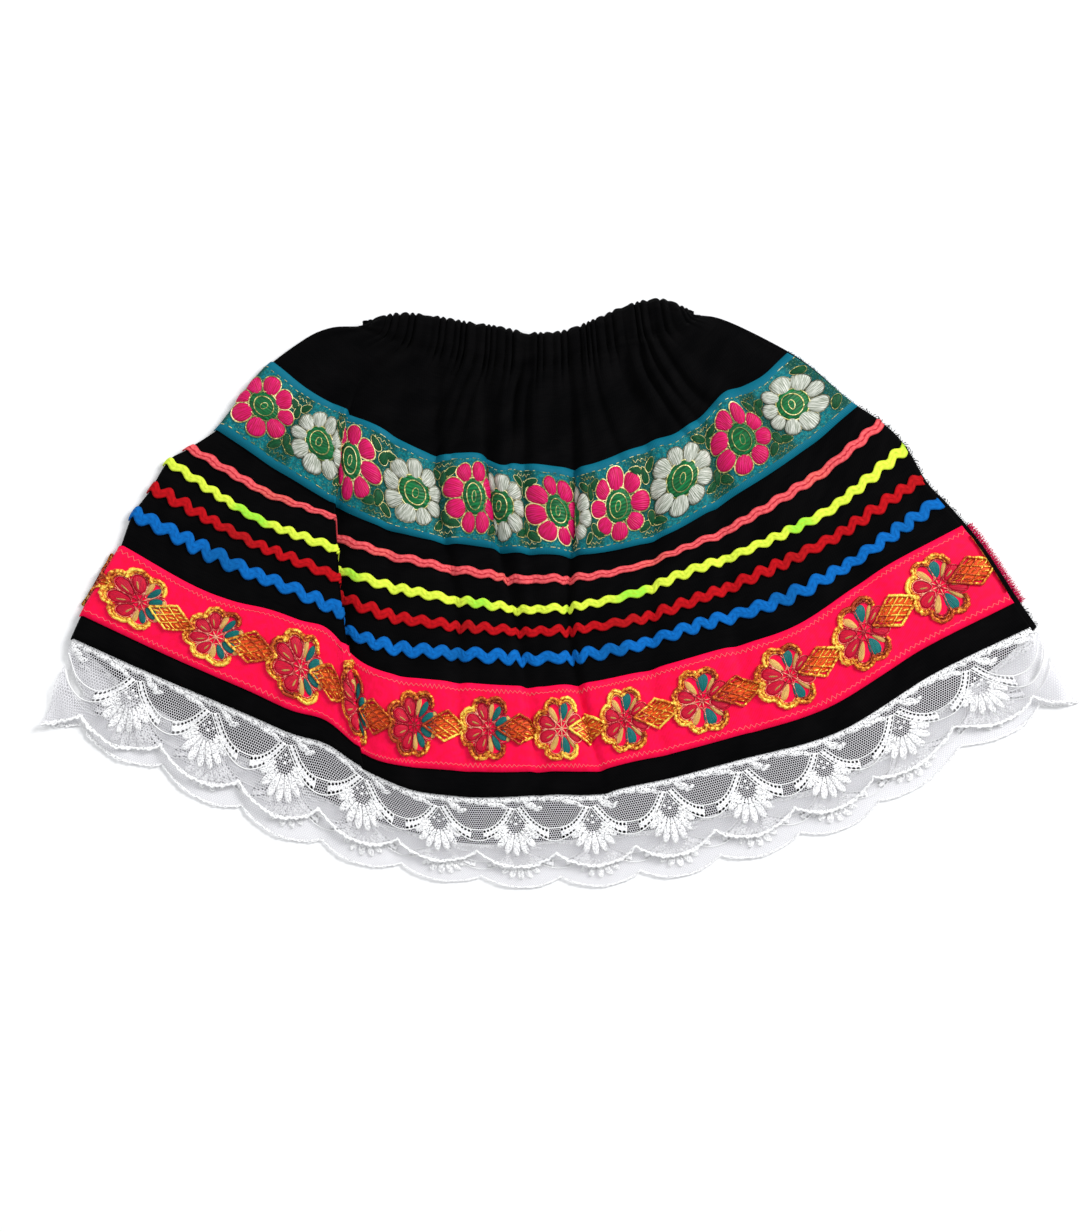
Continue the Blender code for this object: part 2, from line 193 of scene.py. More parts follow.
def page(u, drop):
    """Where points lie on the page. u runs from 0 at the left side of a row to 1 at its right side."""
    u, drop = np.broadcast_arrays(np.asarray(u, float), np.asarray(drop, float))
    flat_u, flat_drop = u.ravel(), drop.ravel()
    values = row_values(flat_drop)
    x = values[:, 0] + flat_u * (values[:, 1] - values[:, 0])
    stations = values[:, 4:]
    last = stations.shape[1] - 1
    place = np.clip(flat_u, 0, 1) * last
    i = np.minimum(place.astype(int), last - 1)
    t = place - i
    pick = np.arange(len(flat_u))
    before = stations[pick, np.maximum(i - 1, 0)]
    here, ahead = stations[pick, i], stations[pick, i + 1]
    after = stations[pick, np.minimum(i + 2, last)]
    before = np.where(i == 0, 2 * here - ahead, before)
    after = np.where(i == last - 1, 2 * ahead - here, after)
    y = glide(here, ahead, (ahead - before) / 2, (after - here) / 2, t)
    y += (flat_u - np.clip(flat_u, 0, 1)) * last * (ahead - here)
    return x.reshape(u.shape), y.reshape(u.shape), values


def furrows(u, count):
    """How deep the furrows between uneven rounded gathers are: 0 on a crest, 1 in the deepest furrow."""
    drift = 0.4 * wave(3 * u) + 0.3 * wave(7 * u, 1) + 0.25 * wave(13.3 * u)
    uneven = 0.72 + 0.28 * wave(9.7 * u, 2) * wave(4.1 * u)
    return uneven * (1 - np.abs(np.cos(math.pi * (count * u + drift))) ** 0.8)


def soft_furrows(u, count):
    """The same for the wide soft folds below the waist, which have no sharp line."""
    drift = 0.6 * wave(2.3 * u, 0.5) + 0.35 * wave(5.9 * u)
    uneven = 0.6 + 0.4 * wave(6.3 * u, 1) * wave(2.9 * u)
    return uneven * (0.5 - 0.5 * np.cos(2 * math.pi * (count * u + drift))) ** 1.6


def front(u, drop):
    """The front's outer surface: its puffs, folds and gathers, rolled round its top and left side."""
    u, drop = np.broadcast_arrays(np.asarray(u, float), np.asarray(drop, float))
    beyond, above = np.maximum(-u, 0), np.maximum(-drop, 0)
    u, drop = np.maximum(u, 0), np.maximum(drop, 0)
    x, y, values = page(u, drop)
    left, right, puff, step = (values[:, k].reshape(u.shape) for k in range(4))

    kept, dip = np.ones_like(x), np.zeros_like(x)
    for fold in FOLDS:
        away = x - curve(drop.ravel(), LEVELS, fold.xs).reshape(u.shape)
        share = np.interp(drop, LEVELS, fold.shares)
        if fold is TUCK:
            tuck_away = away
            share = share * ease(away / TUCK_WALL + 0.5) * ease((drop - TUCK_START) / TUCK_GROWS)
            away = np.maximum(away, 0)
        wall = np.where(away < 0, fold.left_wall, fold.right_wall)
        sunk = share * np.exp(-((away / wall) ** 2))
        kept = kept * (1 - sunk)
        dip = dip + (sunk if fold is not TUCK else 0)

    aside = np.clip(np.abs(2 * u - 1), 0, 1)
    flat_sides, flat_ends = 1 - aside**8, 1 - aside**20
    furrow = furrows(u, GATHERS)
    gather = at_drop(GATHER_DEPTHS, drop) * furrow
    gather += at_drop(YOKE_GATHER_DEPTHS, drop) * soft_furrows(u + 0.0004 * drop, YOKE_GATHERS)
    ripple = 0.3 * wave(9 * u + 0.012 * drop) + 0.2 * wave(17 * u - 0.007 * drop)
    at_hem = ease((drop - DROPS["pink_bottom"] + HEM_RAMP_ABOVE) / HEM_RAMP)
    z = SHEET_BASE + (HEM_BASE - SHEET_BASE) * at_hem + CLOTH_WALL + at_drop(CASING_RISE, drop) * flat_ends
    z = z + ((puff + ripple) * kept - gather) * flat_sides

    y = y + np.maximum(step, 0) * (1 - ease(tuck_away / TUCK_WALL + 0.5))
    y = y - VALLEY_DIP * dip * ease((drop - DIP_START) / DIP_GROWS)
    y = y + EDGE_BUMPS * (0.4 - furrow) * ease(1 - drop / EDGE_BUMPS_DEEP) * flat_ends
    for draw in DRAWS:
        y = y + np.interp(drop, draw.drops, draw.heights) * np.exp(-(((x - draw.x) / draw.wide) ** 2))
    x = x - at_drop(TUCK_OVERHANGS, drop) * np.sin(math.pi * np.clip(tuck_away / (1.5 * TUCK_WALL), -1, 1))

    side_turn = np.clip(beyond * (right - left) / (2 * SIDE_ROLL), 0, math.pi / 2)
    x = x - SIDE_ROLL * np.sin(side_turn)
    y = y - 0.3 * SIDE_ROLL * np.sin(side_turn)
    z = z - (z - SIDE_ROLL_END) * (1 - np.cos(side_turn))
    top_turn = np.clip(above / TOP_ROLL, 0, math.pi / 2)
    y = y + TOP_ROLL * np.sin(top_turn)
    z = z - (z - TOP_ROLL_END) * (1 - np.cos(top_turn))
    return np.stack([x, y, z], axis=-1)


# A grid on the front has some columns on the rolled side and many close to the deep fold's wall: the
# shares of its columns where each stretch ends, and how far the stretches reach in millimetres.
ROLL_COLUMNS = 0.012
TUCK_COLUMNS = (0.215, 0.265)
ROLLED = 5.3
TUCK_REACH = 2.6


def front_columns(count, drop):
    """The u of each column of a grid on the front, for every row's drop."""
    drop = np.atleast_1d(np.asarray(drop, float))
    values = row_values(drop)
    widths = values[:, 1] - values[:, 0]
    tucks = curve(drop, LEVELS, TUCK.xs) - values[:, 0]
    t = np.linspace(0, 1, count)
    return np.stack([
        np.interp(t, (0, ROLL_COLUMNS, *TUCK_COLUMNS, 1),
                  (-ROLLED / wide, 0, (tuck - TUCK_REACH) / wide, (tuck + TUCK_REACH) / wide, 1))
        for tuck, wide in zip(tucks, widths)
    ])


def normals(surface, u, drop):
    """The upward unit normals of a surface at some places."""
    small_u, small_drop = 0.0006, 0.3
    along = surface(u + small_u, drop) - surface(u - small_u, drop)
    down = surface(u, drop + small_drop) - surface(u, drop - small_drop)
    up = np.cross(down, along)
    return up / np.maximum(np.linalg.norm(up, axis=-1, keepdims=True), 1e-9)


def flat_lengths(points):
    """How far each point of a grid lies from its left end, along its row."""
    steps = np.linalg.norm(np.diff(points, axis=1), axis=-1)
    return np.concatenate([np.zeros((len(points), 1)), np.cumsum(steps, axis=1)], axis=1)


def sheet(name, points, flat, wall, material):
    """A sheet of cloth: a grid whose points are moved to their places, then given its wall."""
    rows, columns = points.shape[:2]
    bpy.ops.object.select_all(action="DESELECT")
    bpy.ops.mesh.primitive_grid_add(x_subdivisions=columns - 1, y_subdivisions=rows - 1, size=1)
    piece = bpy.context.object
    piece.name = name
    mesh = piece.data
    start = np.empty(len(mesh.vertices) * 3)
    mesh.vertices.foreach_get("co", start)
    start = start.reshape(-1, 3)
    column = np.rint((start[:, 0] + 0.5) * (columns - 1)).astype(int)
    row = np.rint((0.5 - start[:, 1]) * (rows - 1)).astype(int)
    mesh.vertices.foreach_set("co", (points[row, column] * MM).ravel())
    corners = np.empty(len(mesh.loops), dtype=np.int32)
    mesh.loops.foreach_get("vertex_index", corners)
    mesh.uv_layers[0].data.foreach_set("uv", flat[row, column][corners].ravel())
    mesh.uv_layers[0].name = "flat_mm"
    bpy.ops.object.shade_smooth()
    if wall:
        solid = piece.modifiers.new("wall", "SOLIDIFY")
        solid.thickness = wall * MM
        solid.offset = -1
        bpy.ops.object.modifier_apply(modifier="wall")
    mesh.materials.append(material)
    return piece


class Shade:
    """One socket of a material's nodes. Python's operators on it add Math nodes."""

    def __init__(self, tree, socket):
        self.tree = tree
        self.socket = socket

    def node(self, kind, settings, inputs, output=0):
        """Add any node: its settings are set first, then its sockets' values or links."""
        made = self.tree.nodes.new(kind)
        for key, value in settings.items():
            if key == "stops":
                ramp = made.color_ramp.elements
                while len(ramp) < len(value):
                    ramp.new(0.5)
                for stop, (position, colour) in zip(ramp, value):
                    stop.position = position
                    stop.color = (*colour, 1)
            else:
                setattr(made, key, value)
        for key, value in inputs.items():
            socket = made.inputs[key]
            if isinstance(value, Shade):
                self.tree.links.new(value.socket, socket)
            else:
                socket.default_value = (*value, 1) if socket.type == "RGBA" else value
        return Shade(self.tree, made.outputs[output])

    def math(self, operation, *others):
        return self.node("ShaderNodeMath", {"operation": operation}, dict(enumerate((self, *others))))

    def __add__(self, other):
        return self.math("ADD", other)

    def __sub__(self, other):
        return self.math("SUBTRACT", other)

    def __mul__(self, other):
        return self.math("MULTIPLY", other)

    def __truediv__(self, other):
        return self.math("DIVIDE", other)

    def __pow__(self, other):
        return self.math("POWER", other)

    def __mod__(self, other):
        return self.math("FLOORED_MODULO", other)

    def __rsub__(self, other):
        return self.node("ShaderNodeMath", {"operation": "SUBTRACT"}, {0: other, 1: self})

    def __abs__(self):
        return self.math("ABSOLUTE")

    __radd__ = __add__
    __rmul__ = __mul__

    def between(self, low, high):
        """0 below low, 1 above high, and a smooth rise from one to the other."""
        settings = {"interpolation_type": "SMOOTHSTEP"}
        return self.node("ShaderNodeMapRange", settings, {"Value": self, "From Min": low, "From Max": high})

    def ridges(self):
        """Even ridges from 0 to 1."""
        return self.math("SINE") * 0.5 + 0.5

    def noise(self, scale, detail=2.0, rough=0.5):
        """Even noise at this place, from 0 to 1, with scale in features a millimetre."""
        inputs = {"Vector": self, "Scale": scale, "Detail": detail, "Roughness": rough}
        return self.node("ShaderNodeTexNoise", {}, inputs)

    def on_piece(self):
        """Places on the piece as it lies, in millimetres."""
        return self.node("ShaderNodeTexCoord", {}, {}, "Object").stretch(1 / MM, 1 / MM, 1 / MM)

    def axis(self, name):
        return self.node("ShaderNodeSeparateXYZ", {}, {0: self}, "XYZ".index(name))

    def stretch(self, x, y, z=1.0):
        return self.node("ShaderNodeVectorMath", {"operation": "MULTIPLY"}, {0: self, 1: (x, y, z)})

    def mix(self, first, second):
        """Two colours, mixed by this value. Sockets 6 and 7 are a Mix node's two colours."""
        return self.node("ShaderNodeMix", {"data_type": "RGBA"}, {0: self, 6: first, 7: second}, 2)


def finish(name, colour, roughness, sheen=0.0, metallic=0.0, specular=0.12):
    """A new material with even values: itself, its flat place in millimetres, and two ways to feed it."""
    material = bpy.data.materials.new(name)
    material.use_nodes = True
    tree = material.node_tree
    shader = tree.nodes["Principled BSDF"]
    shader.inputs["Base Color"].default_value = (*colour, 1)
    shader.inputs["Roughness"].default_value = roughness
    shader.inputs["Metallic"].default_value = metallic
    shader.inputs["Sheen Weight"].default_value = sheen
    shader.inputs["Specular IOR Level"].default_value = specular
    place = Shade(tree, tree.nodes.new("ShaderNodeUVMap").outputs["UV"])

    def feed(socket, value):
        tree.links.new(value.socket, shader.inputs[socket])

    def relief(height, depth):
        inputs = {"Height": height, "Strength": 1.0, "Distance": depth * MM}
        feed("Normal", place.node("ShaderNodeBump", {}, inputs, "Normal"))

    return material, place, feed, relief


WEAVE_THREADS = 1.6
black_cotton, place, feed, relief = finish(
    "black_cotton", (0.0018, 0.0017, 0.0019), 0.8, sheen=0.014, specular=0.02,
)
weft, warp = ((place.axis(name) * (WEAVE_THREADS * math.pi)).math("SINE") for name in "XY")
slub = place.stretch(0.12, 2.2).noise(1.0, 3.0)
worn = (place.noise(0.06, 3.0) * 0.6 + slub * 0.4).between(0.3, 0.75)
feed("Base Color", worn.mix((0.0008, 0.0008, 0.001), (0.0026, 0.0024, 0.0026)))
relief((weft * warp * 0.5 + 0.5) * 0.7 + slub * 0.5, 0.16)

# The grid's rows stand closer in the gathers, and its first rows roll over the top.
front_drops = np.concatenate([np.linspace(-2.6, 24, 20), np.linspace(26, HEM, 62)])
grid_u = front_columns(450, np.maximum(front_drops, 0))
grid_drop = np.broadcast_to(front_drops[:, None], grid_u.shape)
front_points = front(grid_u, grid_drop)
front_flat = np.stack([flat_lengths(front_points), grid_drop], axis=-1)
front_cloth = sheet("front_cloth", front_points, front_flat, CLOTH_WALL, black_cotton)
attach(front_cloth, "root")
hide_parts("front_panel")


# The back is the same cut as the front. It lies on the table with its trims under it, a little lower
# than the front along the middle, and its raw side seam shows past the front at the right.

BACK_LOWER = ((0, 0), (110, 5), (200, 13), (229, 24), (267, 24))
SEAM_ALLOWANCE = ((0, 0.6), (50, 1.0), (130, 1.0), (160, 3.0), (230, 4.0), (267, 4.0))
LEFT_INSET = 0.6
BACK_HEIGHT = 1.5


def back(u, drop):
    """The upper surface of the back's cloth."""
    u, drop = np.broadcast_arrays(np.asarray(u, float), np.asarray(drop, float))
    x, y, values = page(u, drop)
    x = x + LEFT_INSET * (1 - u) + at_drop(SEAM_ALLOWANCE, drop) * u
    y = y - at_drop(BACK_LOWER, drop) * (1 - (2 * u - 1) ** 6)
    return np.stack([x, y, BACK_HEIGHT + 0.12 * wave(11 * u + 0.01 * drop)], axis=-1)


back_drops = np.linspace(DROPS["casing_bottom"] - 2, HEM, 50)
back_u, back_drop = np.meshgrid(np.linspace(0, 1, 160), back_drops)
back_points = back(back_u, back_drop)
back_flat = np.stack([flat_lengths(back_points), back_drop], axis=-1)
back_cloth = sheet("back_cloth", back_points, back_flat, CLOTH_WALL, black_cotton)
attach(back_cloth, "root")
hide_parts("back_panel")


# The waist is the cloth's top edge turned down inside over a flat elastic and sewn, which gathers it into
# close uneven pleats. These are the turned-down parts, with the elastic in them, behind the front's cloth.

ROUND_ELASTIC = 32
GATHERED = 1.7
Channel = namedtuple("Channel", "node surface floor height top bottom gather")
CHANNELS = (
    Channel("front_casing", front, 4.4, 2.2, 1.0, 14.0, 0.0),
    Channel("back_casing", back, 0.0, 3.0, 0.0, 15.5, 1.2),
)


def casing(channel):
    """A flat tube of cloth round the elastic, with a pinch at each furrow."""
    u = np.linspace(0, 1, 380)
    turn = np.linspace(0, 2 * math.pi, 21)[:, None]
    furrow = furrows(u, GATHERS)
    down = 0.5 + 0.5 * np.cos(turn)
    drop = channel.top + (channel.bottom - channel.top) * down + channel.gather * furrow * (1 - down) ** 3
    spot = channel.surface(np.broadcast_to(u, drop.shape), drop)
    close = (1 - np.abs(2 * u - 1) ** 24) ** 0.5
    full = np.sign(np.sin(turn)) * np.abs(np.sin(turn)) ** 0.7
    half = channel.height / 2
    upper = np.clip(np.sin(turn), 0, 1)
    z = channel.floor + half + close * (full * half + upper * channel.gather * (1 - furrow))
    return np.stack([spot[..., 0], spot[..., 1], z], axis=-1)


tubes = []
for channel in CHANNELS:
    points = casing(channel)
    around = np.broadcast_to(np.linspace(0, ROUND_ELASTIC, len(points))[:, None], points.shape[:2])
    flat = np.stack([flat_lengths(points) * GATHERED, around], axis=-1)
    tube = sheet(channel.node + "_gathers", points[::-1], flat[::-1], 0, black_cotton)
    tubes.append(tube)
    bpy.ops.object.mode_set(mode="EDIT")
    bpy.ops.mesh.select_all(action="SELECT")
    bpy.ops.mesh.remove_doubles(threshold=0.00002)
    bpy.ops.mesh.normals_make_consistent(inside=False)
    bpy.ops.object.mode_set(mode="OBJECT")
    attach(tube, "root")
    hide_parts(channel.node)


# The teal ribbon is a woven trim, sewn on flat along both edges before the waist was gathered. Its
# embroidered flowers stand at an even pitch on the ribbon, and the folds squeeze them together.

RIBBON_WALL = 0.5
RIBBON_LIFT = 0.35
RIBS = 9.0

# How the flat ribbon lies on the skirt: where some of its motifs, or places between them, come along
# the row, and how far they lean. Stretches that a fold hides or squeezes stand close together.
Ribbon = namedtuple("Ribbon", "first last wide pitch places")
Place = namedtuple("Place", "motif u lean")
TEAL_END = 11.5
TEAL = Ribbon("teal_top", "teal_bottom", 43.5, 34.0, (
    Place(-0.6, -0.030, 0.0), Place(0, 0.031, 0.0), Place(1, 0.126, 0.015), Place(1.21, 0.151, 0.035),
    Place(1.42, 0.1575, 0.04), Place(1.8, 0.166, 0.04), Place(2, 0.182, 0.03), Place(2.21, 0.198, 0.025),
    Place(2.5, 0.231, 0.02), Place(3, 0.293, 0.02), Place(3.5, 0.342, 0.02), Place(3.79, 0.376, 0.015),
    Place(4, 0.394, 0.01), Place(4.21, 0.410, 0.01), Place(4.45, 0.4225, 0.01), Place(4.8, 0.4245, 0.01),
    Place(5, 0.440, 0.01), Place(5.21, 0.460, 0.005), Place(5.5, 0.481, 0.0), Place(5.79, 0.520, 0.0),
    Place(6, 0.538, 0.0), Place(6.21, 0.555, -0.01), Place(6.45, 0.5725, -0.02), Place(7.15, 0.5755, -0.02),
    Place(7.5, 0.597, -0.02), Place(8, 0.642, -0.02), Place(8.5, 0.694, -0.025), Place(9, 0.755, -0.03),
    Place(10, 0.858, -0.02), Place(11, 0.941, 0.0), Place(TEAL_END, 1.0, 0.0),
))


def ribbon_drop(ribbon, t):
    """Which share of the ribbon's width lies above t, and the drop there. t counts up from its middle."""
    below = 0.5 - t / ribbon.wide
    return below, DROPS[ribbon.first] + below * (DROPS[ribbon.last] - DROPS[ribbon.first])


def ribbon_place(ribbon, flat):
    """The u and drop of points (s, t) of the flat ribbon."""
    motifs, us, leans = zip(*ribbon.places)
    pitches = flat[..., 0] / ribbon.pitch
    below, drop = ribbon_drop(ribbon, flat[..., 1])
    return np.interp(pitches, motifs, us) + np.interp(pitches, motifs, leans) * (below - 0.5), drop


def lay(ribbon, flat):
    """Points (s, t, height) above the flat ribbon's face, laid on the skirt with it."""
    u, drop = ribbon_place(ribbon, flat)
    return front(u, drop) + normals(front, u, drop) * (RIBBON_LIFT + RIBBON_WALL + flat[..., 2:3])


def ribbon_sheet(name, ribbon, material, columns, rows):
    """The ribbon itself, from the left side to the right. Its columns follow the deep fold."""
    motifs, us, leans = (np.array(column) for column in zip(*ribbon.places))
    t = np.linspace(ribbon.wide / 2, -ribbon.wide / 2, rows)
    below, drops = ribbon_drop(ribbon, t)
    u = front_columns(columns, drops)
    drop = np.broadcast_to(drops[:, None], u.shape)
    points = front(u, drop) + normals(front, u, drop) * (RIBBON_LIFT + RIBBON_WALL)
    pitches = [np.interp(row, us + leans * (part - 0.5), motifs) for row, part in zip(u, below)]
    flat = np.stack([np.stack(pitches) * ribbon.pitch, np.broadcast_to(t[:, None], u.shape)], axis=-1)
    return sheet(name, points, flat, RIBBON_WALL, material)


teal_weave, place, feed, relief = finish("teal_weave", (0.0, 0.14, 0.18), 0.6)
border = abs(place.axis("Y")).between(18.2, 18.8)
rib = (place.axis("X") * RIBS).ridges()
mottle = place.noise(0.7, 3.0)
ground = mottle.between(0.42, 0.62).mix((0.0, 0.1, 0.12), (0.0, 0.18, 0.21))
gap = abs(place.axis("X") / TEAL.pitch % 1.0 - 0.5)
corner = (0.24 - gap).between(0.0, 0.1) * mottle.between(0.3, 0.52)
specks = place.noise(1.6, 2.0).between(0.6, 0.68) * (1 - border)
worked = specks.mix(corner.mix(ground, (0.0, 0.055, 0.04)), (0.12, 0.26, 0.14))
feed("Base Color", border.mix(worked, (0.0, 0.125, 0.19)))
relief(rib * 0.5 + mottle * 0.5, 0.12)

teal_ribbon = ribbon_sheet("teal_ribbon", TEAL, teal_weave, 440, 16)
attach(teal_ribbon, "root")
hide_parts("teal_ribbon_front")


# The hot pink ribbon is a second woven trim, a little narrower, with motifs of metallic gold cord. It is
# sewn on in the same way, above the hem.

PINK = Ribbon("pink_top", "pink_bottom", 41.0, 39.5, (
    Place(-0.5, -0.012, 0.0), Place(0, 0.043, 0.0), Place(1, 0.128, 0.0), Place(2, 0.2245, 0.01),
    Place(2.5, 0.2655, 0.02), Place(2.8, 0.276, 0.03), Place(3, 0.285, 0.03), Place(3.4, 0.305, 0.02),
    Place(4, 0.352, 0.0), Place(5, 0.4355, 0.0), Place(6, 0.518, 0.0), Place(6.5, 0.553, 0.0),
    Place(7, 0.589, 0.0), Place(8, 0.676, 0.0), Place(9, 0.775, 0.0), Place(10, 0.858, 0.0),
    Place(11, 0.943, 0.0), Place(11.6, 1.0, 0.0),
))
pink_weave, place, feed, relief = finish("pink_weave", (0.9, 0.0, 0.06), 0.6)
rib = (place.axis("X") * RIBS).ridges()
mottle = place.noise(0.3, 3.0)
feed("Base Color", mottle.between(0.35, 0.65).mix((0.85, 0.0, 0.045), (0.95, 0.0, 0.065)))
relief(rib * 0.5 + mottle * 0.4, 0.1)

pink_ribbon = ribbon_sheet("pink_ribbon", PINK, pink_weave, 560, 16)
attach(pink_ribbon, "root")
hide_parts("pink_ribbon_front")


# Four rows of rickrack, a flat braid woven in waves, are sewn on along their middles between the two
# ribbons. Cloth lost in the folds draws the waves together there.

# A braid's dark colour is its painted shade in the troughs of its ribs. It also darkens the braid towards
# its edges, in worn patches and along its sewn line.
Rickrack = namedtuple("Rickrack", "row wave swing wide light dark tint seam")
RICKRACKS = (
    Rickrack("coral", 11.0, 0.55, 4.2, (0.84, 0.12, 0.13), (0.42, 0.012, 0.025), (0.8, 0.14, 0.12), 0.75),
    Rickrack("yellow", 9.0, 0.75, 3.8, (0.74, 0.9, 0.07), (0.42, 0.55, 0.02), (0.3, 0.8, 0.05), 0.3),
    Rickrack("red", 8.9, 1.05, 4.0, (0.5, 0.002, 0.006), (0.22, 0.0, 0.003), (0.42, 0.004, 0.006), 0.3),
    Rickrack("blue", 10.0, 1.4, 5.2, (0.0, 0.135, 0.48), (0.0, 0.055, 0.23), (0.0, 0.11, 0.36), 0.2),
)
HIDDEN_CLOTH = (0, 8, 0, 3, 6, 2, 8, 0, 0, 0)
RICKRACK_WALL = 0.7
RICKRACK_LIFT = 0.15
RICKRACK_CROWN = 0.25
RICKRACK_STEP = 0.75


def braid_path(drop):
    """The length of cloth along a row up to each of many us, with the millimetres that each fold hides."""
    us = front_columns(1600, drop)[0]
    along = flat_lengths(front(us, drop)[None])[0]
    x = page(us, np.full_like(us, drop))[0]
    for fold, hidden in zip(FOLDS, HIDDEN_CLOTH):
        centre = curve(np.array([drop]), LEVELS, fold.xs)[0]
        share = np.interp(drop, LEVELS, fold.shares)
        wide = 2 * (fold.left_wall + fold.right_wall)
        if fold is not TUCK:
            along = along + hidden * share * ease((x - centre) / wide + 0.5)
    return us, along


rickracks = []
for braid in RICKRACKS:
    drop = DROPS[braid.row]
    us, along = braid_path(drop)
    s = np.linspace(along[0], along[-1] + 1.0, int((along[-1] - along[0]) / RICKRACK_STEP))
    t = np.linspace(braid.wide / 2, -braid.wide / 2, 7)
    turn = 2 * math.pi * s / braid.wave + 0.7 * np.sin(0.045 * s + braid.wide) + 0.45 * np.sin(0.17 * s)
    swing = braid.swing * (1 + 0.22 * np.sin(0.11 * s + 3 * braid.wide))
    centre = swing * np.sin(turn) + 0.35 * np.sin(0.06 * s)
    slope = swing * np.cos(turn) * 2 * math.pi / braid.wave
    lean = 1 / np.sqrt(1 + slope**2)
    along_s = s[None] - t[:, None] * slope * lean * 0.8
    u, down = np.interp(along_s, along, us), drop - centre[None] - t[:, None] * lean
    lift = RICKRACK_LIFT + RICKRACK_WALL + RICKRACK_CROWN * (1 - (t / t[0]) ** 2)
    points = front(u, down) + normals(front, u, down) * lift[:, None, None]
    flat = np.stack([np.broadcast_to(s, along_s.shape), np.broadcast_to(t[:, None], along_s.shape)], axis=-1)
    cotton, place, feed, relief = finish(braid.row + "_braid", braid.light, 0.8)
    rib = (place.axis("X") * 2.2 + abs(place.axis("Y")) * 2.0).ridges()
    faded = place.stretch(0.03, 0.0).noise(1.0, 1.0).between(0.52, 0.64)
    edge = abs(place.axis("Y")).between(braid.wide * 0.28, braid.wide * 0.5)
    colour = faded.mix(braid.light, braid.tint)
    worn = place.stretch(0.5, 1.4).noise(1.0, 2.0).between(0.45, 0.7)
    wander = place.axis("Y") + place.stretch(0.35, 0.0).noise(1.0, 2.0) * 2.4 - 1.2
    seam = (1 - abs(wander).between(0.1, 0.55)) * braid.seam
    # Painted shade: the braid goes to its dark colour in the troughs of its ribs. It also goes darker
    # towards its edges, in worn patches and along its sewn line.
    feed("Base Color", (edge * 0.4 + rib * 0.2 + worn * 0.35 + seam).mix(colour, braid.dark))
    relief(rib * 0.7 + place.noise(2.0, 2.0) * 0.3, 0.2)
    piece = sheet(braid.row + "_rickrack", points, flat, RICKRACK_WALL, cotton)
    rickracks.append(piece)
    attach(piece, "root")
    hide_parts(braid.row + "_rickrack_left", braid.row + "_rickrack_right")
    braid.row + "_braid"


# The teal ribbon's flowers are satin-stitched in hot pink and in white by turns, each petal edged with
# fine gilt cord, round a green boss. Green leaves and gilt tendrils stand in the corners between them.

def template(add, **sizes):
    """The points and faces of a primitive, to be copied many times."""
    bpy.ops.object.select_all(action="DESELECT")
    add(**sizes)
    model = bpy.context.object
    points = np.array([vert.co for vert in model.data.vertices])
    faces = [tuple(face.vertices) for face in model.data.polygons]
    bpy.data.objects.remove(model)
    return points, faces


PAD_POINTS, PAD_FACES = template(bpy.ops.mesh.primitive_uv_sphere_add, segments=16, ring_count=7, radius=1)


def turned(points, angle, at):
    """Flat points (s, t, height) turned about the origin and moved."""
    c, s = math.cos(angle), math.sin(angle)
    x, y = points[..., 0], points[..., 1]
    return np.stack([x * c - y * s + at[0], x * s + y * c + at[1], points[..., 2]], axis=-1)


def pad(middle, long, wide, high, flare=0.0, angle=0.0, at=(0, 0)):
    """A satin-stitched pad: an oval that can be wider at its far end. It points away from at."""
    x, y, z = PAD_POINTS.T
    return turned(np.stack([middle + long * x, wide * y * (1 + flare * x), high * z], axis=-1), angle, at)


def oval(middle, long, wide, flare=0.0, angle=0.0, at=(0, 0), height=0.3, count=22):
    """A closed path round such an oval, for its cord."""
    turn = np.linspace(0, 2 * math.pi, count + 1)
    x, y = np.cos(turn), np.sin(turn)
    flat = np.stack([middle + long * x, wide * y * (1 + flare * x), np.full(count + 1, height)], axis=-1)
    return turned(flat, angle, at)


def line(*spots):
    """A path from spots (s, t, height)."""
    return np.array(spots, float)


def trim_piece(name, mesh, material):
    """A finished mesh as one piece, which goes with the skirt."""
    mesh.polygons.foreach_set("use_smooth", [True] * len(mesh.polygons))
    mesh.materials.clear()
    mesh.materials.append(material)
    piece = bpy.data.objects.new(name, mesh)
    bpy.context.scene.collection.objects.link(piece)
    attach(piece, "root")
    return piece


def pads_piece(name, pads, place_on, material):
    """Many pads as one piece, laid on the skirt, with their own flat places for the stitches."""
    size = len(PAD_POINTS)
    flat = np.concatenate(pads)
    faces = [tuple(v + k * size for v in face) for k in range(len(pads)) for face in PAD_FACES]
    mesh = bpy.data.meshes.new(name)
    mesh.from_pydata(place_on(flat) * MM, [], faces)
    local = np.tile(PAD_POINTS[:, :2], (len(pads), 1)) + np.repeat(np.arange(len(pads)) * 7.3, size)[:, None]
    corners = np.empty(len(mesh.loops), dtype=np.int32)
    mesh.loops.foreach_get("vertex_index", corners)
    mesh.uv_layers.new(name="flat_mm").data.foreach_set("uv", (local[corners] * 4).ravel())
    return trim_piece(name, mesh, material)


